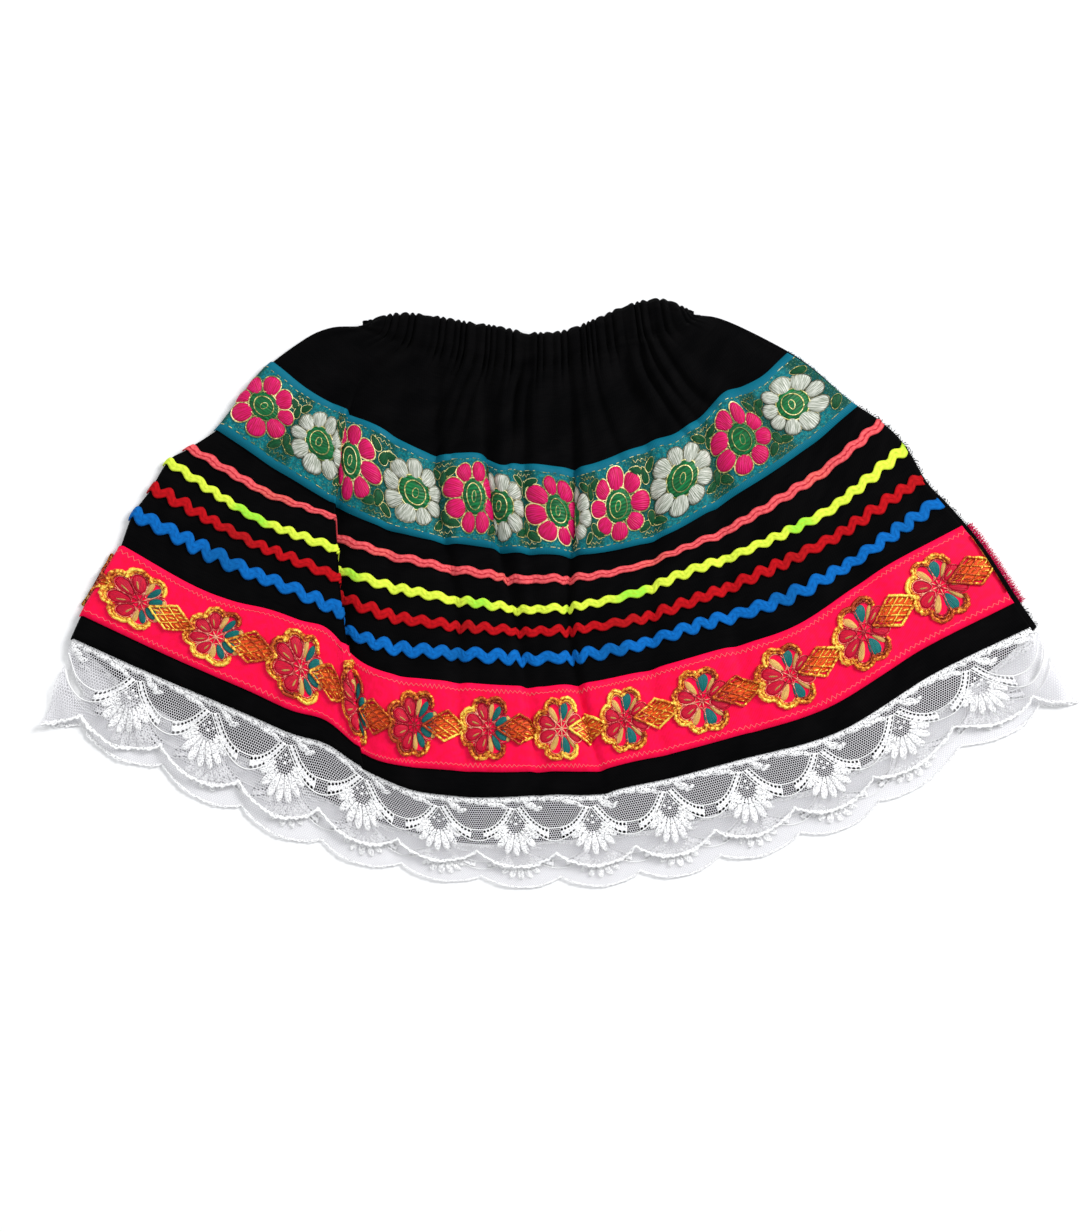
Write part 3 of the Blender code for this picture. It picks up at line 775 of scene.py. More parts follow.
def cords_piece(name, paths, radius, place_on, material, fineness=1):
    """Many cords as one piece: each path is swept flat, then laid on the skirt."""
    sweep = bpy.data.curves.new(name, "CURVE")
    sweep.dimensions = "3D"
    sweep.bevel_depth = radius
    sweep.bevel_resolution = fineness
    sweep.use_fill_caps = True
    for path in paths:
        spline = sweep.splines.new("POLY")
        spline.points.add(len(path) - 1)
        spline.points.foreach_set("co", np.concatenate([path, np.ones((len(path), 1))], axis=1).ravel())
    holder = bpy.data.objects.new(name + "_paths", sweep)
    bpy.context.scene.collection.objects.link(holder)
    bpy.context.view_layer.update()
    mesh = bpy.data.meshes.new_from_object(holder.evaluated_get(bpy.context.evaluated_depsgraph_get()))
    bpy.data.objects.remove(holder)
    flat = np.empty(len(mesh.vertices) * 3)
    mesh.vertices.foreach_get("co", flat)
    mesh.vertices.foreach_set("co", (place_on(flat.reshape(-1, 3)) * MM).ravel())
    mesh.name = name
    return trim_piece(name, mesh, material)


def satin(name, light, dark, gloss=0.5):
    """Silky stitches that lie side by side along each pad."""
    material, place, feed, relief = finish(name, light, gloss, specular=0.25)
    threads = (place.axis("Y") * 8.0 + place.noise(0.5, 2.0) * 6.0).ridges()
    uneven = place.stretch(0.25, 1.6).noise(1.0, 2.0).between(0.35, 0.7)
    # Painted shade: the colour goes to the dark one, a shaded copy of the light one, between the threads and
    # in uneven patches.
    feed("Base Color", (threads * 0.3 + uneven * 0.65).mix(dark, light))
    relief(threads * 0.6 + uneven * 0.4, 0.22)
    return material


def gilt(name, painted_highlight, warm, deep, metallic):
    """Metallic thread wound round a core. Noise paints its colour: bright painted glints, a warm mid tone,
    and deep painted shade for its gaps.
    """
    material, place, feed, relief = finish(name, warm, 0.36, metallic=metallic, specular=0.4)
    where = place.on_piece()
    # Painted light: this noise lays painted highlights, the warm tone and painted shade along the cord.
    glints_and_shade = where.noise(0.7, 1.0) * 0.6 + where.noise(0.05, 1.0) * 0.8
    stops = [(0.62, deep), (0.72, warm), (0.83, painted_highlight)]
    feed("Base Color", place.node("ShaderNodeValToRGB", {"stops": stops}, {"Fac": glints_and_shade}))
    relief(where.noise(1.9, 1.0), 0.4)
    return material


DASH = 2.3
DASH_PITCH = 4.1
DASHES_AT = 18.4
Leaf = namedtuple("Leaf", "foot reach lean long")
LEAVES = (Leaf(0.0, 6.4, 1.45, 3.4), Leaf(1.4, 11.0, 0.55, 3.0), Leaf(-1.4, 11.0, 2.5, 3.1))
pink_pads, white_pads, boss_pads, seed_pads, leaf_pads = [], [], [], [], []
petal_cords, white_cords, boss_cords, leaf_cords, dashes = [], [], [], [], []

# The ribbon's two flowers, by turns. The petals' lengths and widths vary a little from one to the next.
Size = namedtuple("Size", "usual varies step shift")
Flower = namedtuple("Flower", "petals middle high flare long wide pads cords")
FLOWERS = (
    Flower(8, 12.0, 1.3, 0.2, Size(5.2, 0.4, 3.0, 1), Size(4.75, 0.3, 2.0, 2), pink_pads, petal_cords),
    Flower(9, 11.3, 1.2, 0.24, Size(4.8, 0.5, 5.0, 1), Size(4.25, 0.35, 4.0, 1), white_pads, white_cords),
)
for motif in range(13):
    at = (motif * TEAL.pitch, 0.2)
    tilt = 0.3 * math.sin(2.1 * motif) + 0.2
    flower = FLOWERS[motif % 2]
    for k in range(flower.petals):
        angle = tilt + 2 * math.pi * k / flower.petals
        long, wide = (
            size.usual + size.varies * math.sin(size.step * k + size.shift * motif)
            for size in (flower.long, flower.wide)
        )
        flower.pads.append(pad(flower.middle, long, wide, flower.high, flower.flare, angle, at))
        flower.cords.append(oval(flower.middle, long + 0.1, wide + 0.1, flower.flare, angle, at))
    lean = 0.3 * tilt
    boss_pads.append(pad(0, 8.3, 8.9, 1.5, 0, lean, at))
    boss_cords += [oval(0, 7.9, 8.5, 0, lean, at, 0.5, 36), oval(0, 5.0, 6.0, 0, lean, at, 1.3, 28)]
    seed_pads.append(pad(0, 1.1, 2.2, 1.5, 0, lean - 0.3, at))
    boss_cords.append(oval(0, 1.4, 2.6, 0, lean - 0.3, at, 1.2, 16))
    gap = at[0] + TEAL.pitch / 2
    for side in (-1, 1):
        swing = 0.25 * math.sin(1.7 * motif + side)
        for foot, reach, lean, long in LEAVES:
            leaf, spot = side * (lean + swing), (gap + foot, side * reach)
            leaf_pads.append(pad(3.2, long + 0.4, 1.9, 0.8, -0.25, leaf, spot))
            leaf_cords.append(oval(3.2, long + 0.55, 2.05, -0.25, leaf, spot, 0.3, 14))
        curl = np.linspace(0, 4.6, 14)
        for foot, bend in ((-4.2, 1), (4.2, -1)):
            across = gap + foot + bend * (2.2 - 0.35 * curl) * np.cos(curl)
            outwards = side * (13.0 + (1.9 - 0.3 * curl) * np.sin(curl))
            leaf_cords.append(np.stack([across, outwards, np.full(14, 0.2)], axis=-1))
        scribble = [16.3 + 0.9 * math.sin(2.3 * k + motif) for k in range(11)]
        leaf_cords.append(line(*[(gap + 0.9 * k - 4.5, side * t, 0.2) for k, t in enumerate(scribble)]))
for side in (-1, 1):
    for k in range(int(12.2 * TEAL.pitch / DASH_PITCH)):
        start = -16 + k * DASH_PITCH
        long = DASH * (0.8 + 0.6 * math.sin(3.1 * k) * math.sin(0.7 * k))
        t = side * (DASHES_AT + 0.25 * math.sin(1.9 * k))
        dashes.append(line((start, t, 0.08), (start + long / 2, t, 0.24), (start + long, t, 0.08)))


def within(end, *groups):
    """The shapes of each group that end before the ribbon does."""
    return [[points for points in group if points[:, 0].max() < end] for group in groups]


teal_end = TEAL_END * TEAL.pitch + 1
pink_pads, white_pads, boss_pads, seed_pads, leaf_pads = within(
    teal_end, pink_pads, white_pads, boss_pads, seed_pads, leaf_pads,
)
petal_cords, white_cords, boss_cords, leaf_cords, dashes = within(
    teal_end, petal_cords, white_cords, boss_cords, leaf_cords, dashes,
)


def on_teal(flat):
    """Stitches laid on the teal ribbon."""
    return lay(TEAL, flat)


# Each satin's second colour is a shaded copy of its first, used as painted shade.
pink_satin = satin("pink_satin", (0.74, 0.0, 0.165), (0.42, 0.0, 0.04))
white_satin = satin("white_satin", (0.76, 0.77, 0.7), (0.2, 0.23, 0.17))
green_satin = satin("green_satin", (0.0, 0.2, 0.05), (0.0, 0.05, 0.012))
leaf_satin = satin("leaf_satin", (0.0, 0.11, 0.03), (0.0, 0.035, 0.012))
beige_satin = satin("beige_satin", (0.55, 0.42, 0.16), (0.25, 0.17, 0.05))
# Each gilt's first colour is a painted highlight, and its last colour is painted shade.
pale_gilt = gilt("pale_gilt", (0.95, 0.86, 0.42), (0.6, 0.5, 0.16), (0.16, 0.2, 0.06), 0.3)
grey_gilt = gilt("grey_gilt", (0.4, 0.38, 0.24), (0.16, 0.15, 0.08), (0.04, 0.05, 0.03), 0.3)
teal_trims = [
    pads_piece("teal_ribbon_" + name, shapes, on_teal, material)
    for name, shapes, material in (
        ("pink_petals", pink_pads, pink_satin),
        ("white_petals", white_pads, white_satin),
        ("bosses", boss_pads, green_satin),
        ("seeds", seed_pads, beige_satin),
        ("leaves", leaf_pads, leaf_satin),
    )
] + [
    cords_piece("teal_ribbon_" + name, paths, radius, on_teal, material)
    for name, paths, radius, material in (
        ("petal_cords", petal_cords, 0.3, pale_gilt),
        ("white_cords", white_cords, 0.2, grey_gilt),
        ("boss_cords", boss_cords, 0.3, pale_gilt),
        ("leaf_cords", leaf_cords, 0.13, pale_gilt),
        ("dashes", dashes, 0.13, pale_gilt),
    )
]


# The pink ribbon's motifs are thick gilt cord couched in six scallops round a flower of teal, cream and
# red petals. From its open side a rhombic leaf, with a lattice of gilt veins, reaches the next flower. A
# zigzag of pale pink thread holds each edge of the ribbon.

LEAF_START = 4.5
LEAF_SIDE = np.array([12.0, 7.2, 0.0])
LEAF_LINES = (0, 1 / 3, 2 / 3, 1)
LEAF_CELLS = (1 / 6, 1 / 2, 5 / 6)
LOBE_AT = 9.7
LOBES = ((5.3, 0.78), (3.9, 0.5))

# The petals of half a flower, from the leaf's side round to the other: the later flowers on the ribbon
# have their teal petals at the top and bottom.
Petal = namedtuple("Petal", "colour middle long wide high flare turn")
RED_PETAL = (Petal("red", 8.0, 4.4, 2.8, 0.6, 0.3, 0.0), Petal("cream", 7.4, 2.4, 0.5, 0.9, 0.3, 0.1))
EARLY_PETALS = (
    (Petal("teal", 7.6, 3.9, 2.5, 0.9, 0.3, 0.0), Petal("cream", 11.4, 1.3, 2.0, 0.8, 0.0, 0.0)),
    (Petal("teal", 8.0, 4.4, 1.7, 0.95, 0.3, -0.16), Petal("cream", 8.0, 4.2, 1.35, 0.9, 0.3, 0.24)),
    RED_PETAL,
    RED_PETAL,
)
LATE_PETALS = (
    RED_PETAL,
    (Petal("teal", 8.2, 4.4, 2.7, 0.95, 0.3, 0.2), Petal("cream", 8.0, 4.0, 0.9, 0.9, 0.3, -0.28)),
    (Petal("cream", 8.0, 4.2, 1.6, 0.9, 0.3, 0.16),),
    RED_PETAL,
)
LATE_FROM = 6


def on_leaf(a, b, height, at):
    """A spot on the leaf, which is a rhombus: a and b are the shares along its two sides."""
    upper, lower = LEAF_SIDE, LEAF_SIDE * (1, -1, 1)
    return np.array([at[0] + LEAF_START, 0.0, height]) + a * upper + b * lower


def crinkle(path, amount):
    """A cord's path with the small uneven waves that its couching stitches leave."""
    k = np.arange(len(path))
    swing = [np.sin(2.3 * k + path[0, 0]), np.sin(1.7 * k + path[0, 1]), 0.4 * np.sin(2.9 * k)]
    return path + amount * np.stack(swing, axis=-1)


edge_cords, inner_cords, leaf_cords, rim_cords, spokes, veins = [], [], [], [], [], []
red_pads, teal_pads, cream_pads, fill_pads, spindle_pads = [], [], [], [], []
petal_pads = {"red": red_pads, "teal": teal_pads, "cream": cream_pads}
for motif in range(-1, 13):
    at = (motif * PINK.pitch, 0.0)
    for k in range(8):
        angle = math.radians(22.5 + 45 * k)
        facing = min(k, 7 - k)
        side = 1 if k < 4 else -1
        for petal in (EARLY_PETALS if motif < LATE_FROM else LATE_PETALS)[facing]:
            turn = angle + (petal.turn if petal in RED_PETAL else side * petal.turn)
            shape = pad(petal.middle, petal.long, petal.wide, petal.high, petal.flare, turn, at)
            petal_pads[petal.colour].append(shape)
        rim_cords.append(oval(8.0, 4.7, 3.0, 0.3, angle, at, 0.35, 18))
        spoke = line(*[(reach, 0.0, 0.5) for reach in (0, 4, 8, 12)])
        spokes.append(turned(spoke, angle + math.pi / 8, at))
        if facing == 0:
            continue
        for (lobe, height), cords, span in zip(LOBES, (edge_cords, inner_cords), (1.5, 1.2)):
            turn = np.linspace(-span, span, 15)
            lobe = lobe * (1 + 0.06 * math.sin(3.1 * k + motif))
            above = height + 0.15 * np.cos(3 * turn)
            arc = np.stack([LOBE_AT + lobe * np.cos(turn), 0.94 * lobe * np.sin(turn), above], axis=-1)
            cords.append(crinkle(turned(arc, angle, at), 0.22))
    shares = np.linspace(0, 1, 12)
    for part in LEAF_LINES:
        cords, height, amount = (leaf_cords, 1.1, 0.1) if part in (0, 1) else (veins, 0.95, 0.03)
        rising = [on_leaf(share, part, height, at) for share in shares]
        falling = [on_leaf(part, share, height, at) for share in shares]
        cords += [crinkle(np.array(rising), amount), crinkle(np.array(falling), amount)]
    for a in LEAF_CELLS:
        for b in LEAF_CELLS:
            s, t, _ = on_leaf(a, b, 0, (0, 0))
            spindle_pads.append(pad(0, 2.0, 0.55, 1.25, 0, 0.25 if t >= 0 else -0.25, (at[0] + s, t)))
    fill_pads.append(pad(LEAF_START + LEAF_SIDE[0], 9.8, 4.9, 0.6, 0, 0, at))


def on_pink(flat):
    """Stitches and cords laid on the pink ribbon."""
    return lay(PINK, flat)


# Each gilt's first colour is a painted highlight, and its last colour is painted shade.
gold = gilt("gold_cord", (1.0, 0.72, 0.1), (0.72, 0.19, 0.01), (0.36, 0.035, 0.004), 0.4)
red_gold = gilt("red_gold", (0.9, 0.5, 0.06), (0.6, 0.1, 0.006), (0.2, 0.015, 0.003), 0.35)
rose_gilt = gilt("rose_gilt", (0.85, 0.4, 0.25), (0.62, 0.08, 0.08), (0.35, 0.01, 0.02), 0.3)
# Each satin's second colour is a shaded copy of its first, used as painted shade.
red_satin = satin("red_satin", (0.75, 0.002, 0.03), (0.42, 0.0, 0.03))
fire_satin = satin("fire_satin", (0.95, 0.13, 0.008), (0.6, 0.03, 0.006))
teal_satin = satin("teal_satin", (0.0, 0.19, 0.17), (0.0, 0.09, 0.1))
cream_satin = satin("cream_satin", (0.95, 0.62, 0.2), (0.6, 0.3, 0.06))
pink_trims = [
    pads_piece("pink_ribbon_" + name, shapes, on_pink, material)
    for name, shapes, material in (
        ("leaves", fill_pads, fire_satin),
        ("red_petals", red_pads, red_satin),
        ("teal_petals", teal_pads, teal_satin),
        ("cream_petals", cream_pads, cream_satin),
        ("spindles", spindle_pads, gold),
    )
] + [
    cords_piece("pink_ribbon_" + name, paths, radius, on_pink, material)
    for name, paths, radius, material in (
        ("edge_cords", edge_cords, 0.95, gold),
        ("inner_cords", inner_cords, 0.65, red_gold),
        ("leaf_cords", leaf_cords, 0.65, gold),
        ("rims", rim_cords, 0.2, rose_gilt),
        ("spokes", spokes, 0.28, rose_gilt),
        ("veins", veins, 0.33, gold),
    )
]

ZIGZAG = 1.25
ZIGZAG_AT = 17.6
stitches = []
for side in (-1, 1):
    for k in range(int(12.1 * PINK.pitch / ZIGZAG)):
        s = -0.45 * PINK.pitch + k * ZIGZAG
        much = 0.65 + 0.45 * math.sin(0.13 * k + side) * math.sin(0.31 * k)
        swing = -much if k % 2 else much
        start, end = (s, side * (ZIGZAG_AT + swing), 0.05), (s + ZIGZAG, side * (ZIGZAG_AT - swing), 0.05)
        stitches.append(line(start, (s + ZIGZAG / 2, side * ZIGZAG_AT, 0.2), end))
pale_thread = finish("pale_pink_thread", (0.82, 0.16, 0.17), 0.7)[0]
pink_trims.append(cords_piece("pink_ribbon_stitches", stitches, 0.13, on_pink, pale_thread, 0))


# The lace is a machine-made edging of fine net with thicker threads worked into swags, shells and
# blossoms, and a white cord along its scallops. It is sewn in under the hem, front and back.

REPEAT = 42.5
REPEATS = 12.8
LACE_LENGTH = REPEAT * REPEATS
LACE_DEEP = 37.5
LACE_DROP = DROPS["lace_tip"] - HEM
BACK_LACE_HIGHER = ((0, 0), (HEM, 0), (HEM + 14, 7), (HEM + 38, 14))
Swag = namedtuple("Swag", "half low top power")
INNER_SWAG = Swag(17.5, 17.0, 5.0, 2.4)
OUTER_SWAG = Swag(21.2, 23.2, 6.0, 2.0)
DIAMOND = 2.9
NET_CELL = 1.25
NET_WALL, THREAD_WALL = 0.12, 0.1
ON_NET = 0.15
Blossom = namedtuple("Blossom", "across deep long wide lean")
BLOSSOMS = (
    Blossom(-12.5, 5.2, 3.6, 1.9, 0.3), Blossom(-8.6, 7.0, 3.0, 1.2, -0.4),
    Blossom(-15.0, 3.2, 2.4, 1.6, 0.8), Blossom(9.5, 3.6, 4.6, 1.3, 0.1),
    Blossom(14.5, 4.6, 3.0, 1.2, 0.5), Blossom(2.0, 2.4, 4.0, 1.2, 0.0),
)


def lace_edge(s):
    """The depth of the scalloped edge at s, measured from a notch."""
    return 29.5 + 8.0 * np.abs(np.sin(math.pi * s / REPEAT)) ** 0.75


def crumple(u, drop):
    """Small creases, deeper towards the ends, where the lace is rumpled."""
    much = 0.22 + 1.5 * ease((0.22 - u) / 0.18) + 0.7 * ease((u - 0.9) / 0.08)
    crossed = np.sin(90 * u + 0.11 * drop) * np.sin(0.23 * drop + 37 * u)
    return much * (crossed + 0.5 * np.sin(170 * u - 0.3 * drop))


def front_lace(u, drop):
    """The front's lace, which comes out from under the hem and sinks to lie on the back."""
    x, y, _ = np.moveaxis(front(np.clip(u, 0, 1), drop), -1, 0)
    hem = front(np.clip(u, 0, 1), np.minimum(drop, HEM))[..., 2] - CLOTH_WALL - 0.5
    low = 3.1 + 0.5 * wave(REPEATS * (u - 0.5)) + 0.6 * crumple(u, drop)
    sunk = ease((drop - HEM) / 16)
    x = x + 0.4 * crumple(u, drop + 9) * sunk
    y = y + 0.5 * crumple(u + 0.05, drop) * sunk
    return np.stack([x, y, hem + (low - hem) * sunk], axis=-1)


def back_lace(u, drop):
    """The back's lace, which lies on the table."""
    x, y, _ = np.moveaxis(back(u, drop), -1, 0)
    low = 0.9 + 0.25 * wave(REPEATS * (u - 0.5)) + 0.2 * crumple(u + 0.03, drop)
    return np.stack([x, y + at_drop(BACK_LACE_HIGHER, drop) * (1 - (2 * u - 1) ** 6), low], axis=-1)


def swag_depth(swag, share):
    """The depth of a swag's line at a share of its half width from its lowest place."""
    return swag.low - (swag.low - swag.top) * abs(share) ** swag.power


NET_ROW = NET_CELL * math.sqrt(3)


def from_cell(x, y):
    """How far a place on the net is from the middle of the nearest cell of one row in two."""
    return ((x % NET_CELL - NET_CELL / 2) ** 2.0 + (y % NET_ROW - NET_ROW / 2) ** 2.0) ** 0.5


# The net is cut away under the swags' bands, which have their own holes.
net, place, feed, relief = finish("lace_net", (0.82, 0.81, 0.84), 0.8)
x, y = place.axis("X"), place.axis("Y")
from_middle = from_cell(x, y).math("MINIMUM", from_cell(x + NET_CELL / 2, y + NET_ROW / 2))
threads = from_middle.between(0.5, 0.58)
across = (x + REPEAT / 2) % REPEAT - REPEAT / 2
below_inner = y - swag_depth(INNER_SWAG, across / INNER_SWAG.half)
above_outer = swag_depth(OUTER_SWAG, across / OUTER_SWAG.half) - y
top = INNER_SWAG.top + (abs(across) - INNER_SWAG.half) * 0.3
under_band = below_inner.between(0.2, 0.5) * above_outer.between(-0.2, 0.1) * (y - top).between(0.0, 0.3)
under_band = under_band * abs(across).between(DIAMOND, DIAMOND + 0.3)
feed("Alpha", threads * (1 - under_band))

thick_lace, place, feed, relief = finish("lace_thread", (0.93, 0.92, 0.94), 0.8)
where = place.on_piece()
speck = where.noise(1.3, 2.0)
feed("Base Color", speck.between(0.3, 0.55).mix((0.7, 0.69, 0.72), (0.95, 0.95, 0.95)))
feed("Alpha", speck.between(0.4, 0.47))
relief(where.noise(1.8, 3.0), 0.3)

BAND_WIDE = 5.9
HOLE_ROWS = (1.2, 5.0)
HOLE_PITCH = 1.9
dotted_lace, place, feed, relief = finish("lace_band", (0.93, 0.92, 0.94), 0.8)
along, over = place.axis("X") % HOLE_PITCH - HOLE_PITCH / 2, place.axis("Y")
holes = [(along**2.0 + (over - middle) ** 2.0) ** 0.5 for middle in HOLE_ROWS]
speck = place.on_piece().noise(1.3, 2.0)
feed("Base Color", speck.between(0.3, 0.6).mix((0.66, 0.65, 0.68), (0.93, 0.93, 0.93)))
feed("Alpha", holes[0].math("MINIMUM", holes[1]).between(0.62, 0.78) * speck.between(0.3, 0.38))

white_cord = finish("lace_cord", (0.88, 0.88, 0.88), 0.7)[0]


def joined(name, pieces):
    """Several pieces as one, which goes with the skirt."""
    bpy.ops.object.select_all(action="DESELECT")
    for piece in pieces:
        piece.select_set(True)
    bpy.context.view_layer.objects.active = pieces[0]
    bpy.ops.object.join()
    pieces[0].name = name
    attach(pieces[0], "root")
    return pieces[0]


for side, surface, node, edge_cord in (
    ("front", front_lace, "front_lace", 0.5),
    ("back", back_lace, "back_lace", 0.25),
):

    def on_lace(flat, surface=surface):
        """Threads laid on this side's net. Flat places run along the lace and down from the hem."""
        u = 0.5 + flat[..., 0] / LACE_LENGTH
        drop = HEM + flat[..., 1] * LACE_DROP / LACE_DEEP
        return surface(u, drop) + normals(surface, u, drop) * flat[..., 2:3]

    def strip(s, depth, height, wall, material, flat=None):
        """A sheet of the lace from arrays of its flat places."""
        spots = np.stack([np.broadcast_to(s, depth.shape), depth, np.full_like(depth, height)], axis=-1)
        return sheet("strip", on_lace(spots), spots[..., :2] if flat is None else flat, wall, material)

    s = np.linspace(-LACE_LENGTH / 2, LACE_LENGTH / 2, 560)
    share = np.linspace(0, 1, 22)[:, None]
    ground = joined(side + "_lace_net", [strip(s, -3 + share * (lace_edge(s) + 3), 0, NET_WALL, net)])
    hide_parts(node)

    share = np.linspace(0, 1, 4)[:, None]
    header_edge = 3.0 + 0.5 * np.sin(s * 0.9) + 0.4 * np.sin(s * 2.3)
    header = strip(s, -0.6 + share * (header_edge + 0.6), ON_NET, THREAD_WALL, thick_lace)
    rim = strip(s, lace_edge(s) - 1.5 + share * 1.3, ON_NET, THREAD_WALL, thick_lace)
    trims = [joined(side + "_lace_borders", [header, rim])]

    pads, cords, bands = [], [], []
    for k in range(-6, 7):
        notch = k * REPEAT
        shell = (notch + REPEAT / 2, 14.5)
        for j in range(9):
            long = 6.6 - 0.16 * (j - 4) ** 2
            pads.append(pad(4.0 + long, long, 1.75, 0.22, 0.4, math.radians(10 + 20 * j), shell))
        for across, deep in ((-2.6, 12.6), (0, 14.2), (2.6, 12.6), (0, 10.8)):
            pads.append(pad(0, 0.9, 0.7, 0.16, 0, 0, (shell[0] + across, deep)))
        for blossom in BLOSSOMS:
            spot = (notch + blossom.across, blossom.deep)
            pads.append(pad(0, blossom.long, blossom.wide, 0.25, 0, blossom.lean, spot))
        t = np.linspace(-1, 1, 34)
        for swag in (INNER_SWAG, OUTER_SWAG):
            cords.append(np.stack([notch + swag.half * t, swag_depth(swag, t), 0.14 + 0 * t], axis=-1))
        for start, end in ((-1, -DIAMOND / INNER_SWAG.half), (DIAMOND / INNER_SWAG.half, 1)):
            t = np.linspace(start, end, 24)
            high, low = swag_depth(INNER_SWAG, t), swag_depth(OUTER_SWAG, t)
            near, far = INNER_SWAG.half * t, OUTER_SWAG.half * t
            across = notch + near + share * (far - near)
            if np.abs(across).max() < LACE_LENGTH / 2:
                long = np.concatenate([[0], np.cumsum(np.hypot(np.diff(high), np.diff(near)))])
                flat = np.stack(np.broadcast_arrays(long, share * BAND_WIDE), axis=-1)
                deep = high + share * (low - high)
                bands.append(strip(across, deep, ON_NET + 0.01, THREAD_WALL, dotted_lace, flat))
    pads = [points for points in pads if np.abs(points[:, 0]).max() < LACE_LENGTH / 2]
    cords = [path[np.abs(path[:, 0]) < LACE_LENGTH / 2] for path in cords]
    s = np.linspace(-LACE_LENGTH / 2, LACE_LENGTH / 2, 1000)
    ragged = 0.35 * np.sin(s * 2.4) + 0.25 * np.sin(s * 1.13 + 1) + 0.3 * np.sin(s * 0.37)
    edge = np.stack([s, lace_edge(s) - 0.3 + ragged, np.full(1000, 0.1)], axis=-1)
    trims.append(joined(side + "_lace_bands", bands))
    trims.append(pads_piece(side + "_lace_blossoms", pads, on_lace, thick_lace))
    trims.append(cords_piece(side + "_lace_swags", cords, 0.3, on_lace, white_cord))
    trims.append(cords_piece(side + "_lace_edge_cord", [edge], edge_cord, on_lace, white_cord))


# The back's two ribbons are the other halves of the same strips. They lie under the back, flat against
# the table, with the same weave and embroidery.

UNDER_GAP = 0.1
UNDER_RELIEF = 0.3
TEAL_BACK = TEAL._replace(places=(Place(-0.5, 0.0, 0.0), Place(9.2, 1.0, 0.0)))
PINK_BACK = PINK._replace(places=(Place(-0.5, 0.0, 0.0), Place(11.2, 1.0, 0.0)))


def under(ribbon, flat, height):
    """Points of a flat ribbon laid under the back. Height counts down from the ribbon's face."""
    u, drop = ribbon_place(ribbon, flat)
    spot = back(np.clip(u, 0, 1), drop)
    face = spot[..., 2] - CLOTH_WALL - UNDER_GAP - RIBBON_WALL
    return np.stack([spot[..., 0], spot[..., 1], np.maximum(face - UNDER_RELIEF * height, 0.0)], axis=-1)


under_trims = {}
for name, ribbon, weave, groups in (
    ("teal_ribbon", TEAL_BACK, teal_weave,
     ((pink_pads, pink_satin), (white_pads, white_satin), (boss_pads, green_satin))),
    ("pink_ribbon", PINK_BACK, pink_weave,
     ((fill_pads, fire_satin), (red_pads, red_satin), (teal_pads, teal_satin))),
):
    low, high = (place.motif * ribbon.pitch for place in ribbon.places)
    s, t = np.meshgrid(np.linspace(high, low, 200), np.linspace(ribbon.wide / 2, -ribbon.wide / 2, 12))
    flat = np.stack([s, t], axis=-1)
    piece = sheet(name + "_under", under(ribbon, flat, np.zeros(s.shape)), flat, RIBBON_WALL - 0.1, weave)
    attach(piece, "root")
    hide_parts(name + "_back")

    def on_under(flat, ribbon=ribbon):
        """Pads laid on this ribbon, which faces the table."""
        return under(ribbon, flat, flat[:, 2])

    stitched = []
    for k, (shapes, material) in enumerate(groups):
        inside = [points for points in shapes if points[:, 0].min() > low and points[:, 0].max() < high]
        stitched.append(pads_piece(f"{name}_under_{k + 1}", inside, on_under, material))
    under_trims[name] = (piece, (high - low, ribbon.wide), stitched)


# The right side seam is raw: cut threads of the cloth and of the back's ribbons stick out along it, and
# a few loose ones lie across the edge.

Fray = namedtuple("Fray", "name first last count long colour slot")
FRAYS = (
    Fray("black", "teal_bottom", "hem", 150, 1.9, (0.006, 0.005, 0.006), "black_cloth"),
    Fray("teal", "teal_top", "teal_bottom", 40, 0.9, (0.0, 0.12, 0.17), "teal_ribbon"),
    Fray("pink", "pink_top", "pink_bottom", 300, 3.6, (0.5, 0.0, 0.06), "pink_ribbon"),
)


def on_seam(flat):
    """Places by drop, distance out from the back's right edge, and height."""
    drop = flat[:, 0]
    edge = back(np.ones(len(drop)), drop)
    down = back(np.ones(len(drop)), drop + 0.5) - back(np.ones(len(drop)), drop - 0.5)
    down /= np.linalg.norm(down, axis=-1, keepdims=True)
    spot = edge + np.stack([-down[:, 1], down[:, 0], 0 * drop], axis=-1) * flat[:, 1:2]
    spot[:, 2] = np.maximum(spot[:, 2] - 0.5 + flat[:, 2], 0.1)
    return spot


for fray in FRAYS:
    threads = []
    start, end = DROPS[fray.first], DROPS[fray.last]
    for k in range(fray.count):
        drop = start + (end - start) * (k + 0.5 * math.sin(5.3 * k)) / fray.count
        long = fray.long * (0.55 + 0.45 * math.sin(2.7 * k) * math.sin(1.3 * k))
        lean = 1.1 * math.sin(7.1 * k)
        lift = 0.3 + 0.3 * math.sin(3.9 * k)
        threads.append(line((drop, -0.8, 0), (drop + 0.4 * lean, 0.5 * long, lift), (drop + lean, long, 0)))
    thread = finish(fray.name + "_threads", fray.colour, 0.9)[0]
    cords_piece(fray.name + "_fray", threads, 0.14, on_seam, thread, 0)


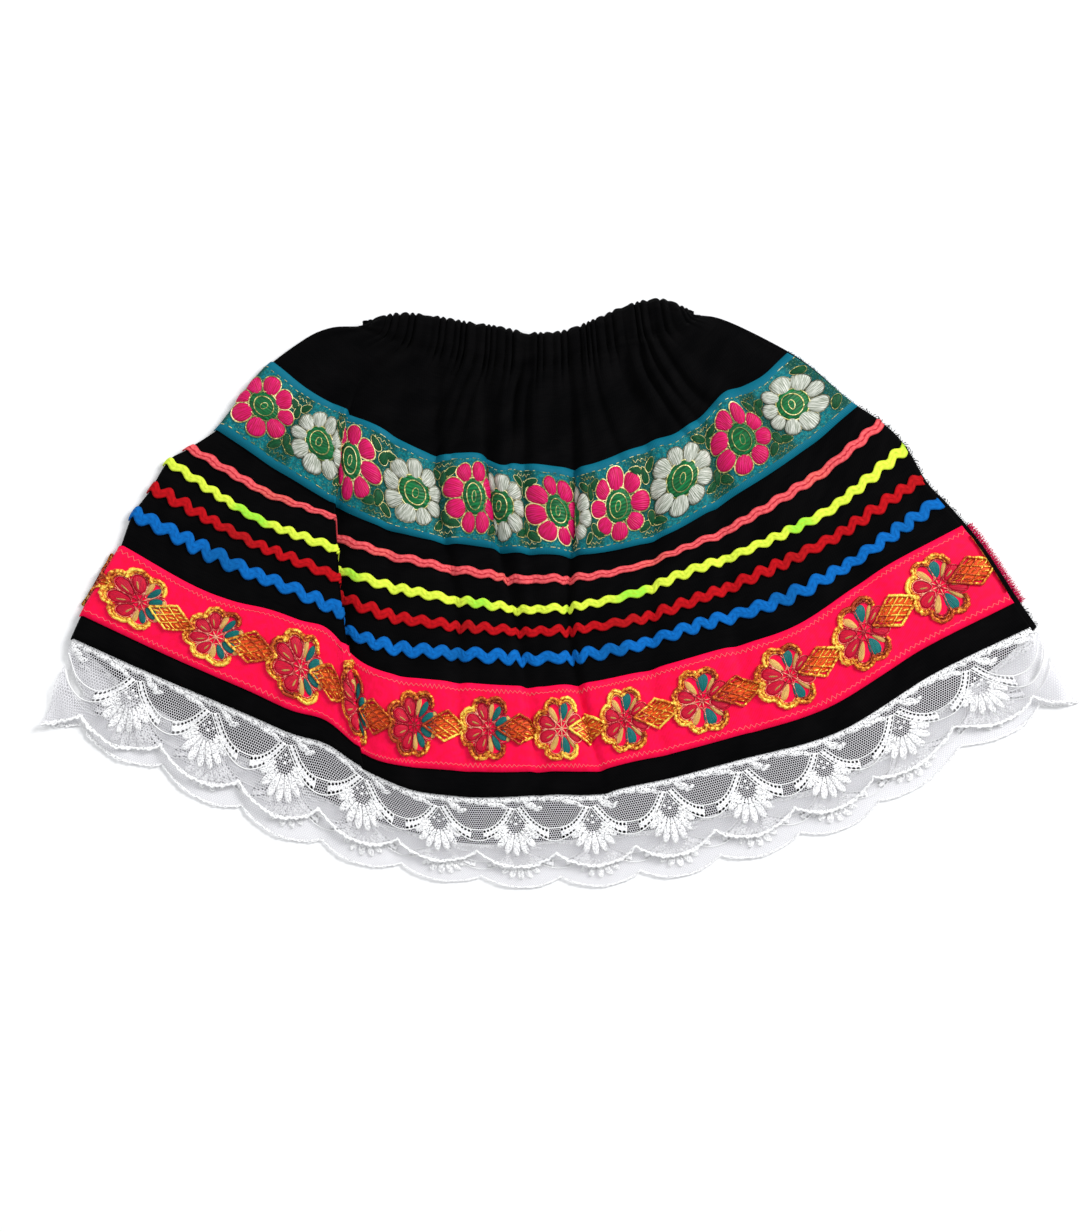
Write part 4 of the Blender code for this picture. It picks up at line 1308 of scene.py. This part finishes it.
# The cloth, the ribbons and the lace were cut as flat strips and one flared panel for each side. The
# ribbons' flat lengths and widths, front and back, are worked out here in metres and not used.

tubes + rickracks
for ribbon, piece, trims in ((TEAL, teal_ribbon, teal_trims), (PINK, pink_ribbon, pink_trims)):
    long = (ribbon.places[-1].motif - ribbon.places[0].motif) * ribbon.pitch
    long * MM
    ribbon.wide * MM
for piece, (long, wide), stitched in under_trims.values():
    long * MM
    wide * MM


# The skirt lies on a plain pale table, lit softly from all round and more from the upper right. The
# camera looks straight down.

bpy.ops.object.select_all(action="DESELECT")
bpy.ops.mesh.primitive_plane_add(size=6, location=(0, 0, -0.0002))
table = bpy.context.object
table.name = "table"
table.data.materials.append(finish("pale_table", (0.93, 0.93, 0.935), 0.8)[0])

world = bpy.data.worlds.new("soft_white")
world.use_nodes = True
world.node_tree.nodes["Background"].inputs["Color"].default_value = (0.96, 0.98, 1.0, 1)
world.node_tree.nodes["Background"].inputs["Strength"].default_value = 0.55
bpy.context.scene.world = world
bpy.context.scene.view_settings.view_transform = "Standard"

Lamp = namedtuple("Lamp", "name x y z watts size")
for lamp in (Lamp("window", 1.6, 1.2, 1.5, 62, 0.9), Lamp("fill", -1.4, 0.6, 1.8, 12, 1.4)):
    light = bpy.data.lights.new(lamp.name, "AREA")
    light.energy = lamp.watts
    light.size = lamp.size
    holder = bpy.data.objects.new(lamp.name, light)
    bpy.context.scene.collection.objects.link(holder)
    holder.location = (lamp.x, lamp.y, lamp.z)
    aim = -holder.location.copy()
    holder.rotation_euler = aim.to_track_quat("-Z", "Y").to_euler()

CAMERA_HEIGHT = 1.5
VIEW_CENTRE = (-0.01025, -0.0105)
VIEW_TALL = 0.616
camera = bpy.data.cameras.new("camera")
camera.sensor_width = 36
camera.lens = 36 * CAMERA_HEIGHT / VIEW_TALL
eye = bpy.data.objects.new("camera", camera)
bpy.context.scene.collection.objects.link(eye)
eye.location = (*VIEW_CENTRE, CAMERA_HEIGHT)
bpy.context.scene.camera = eye
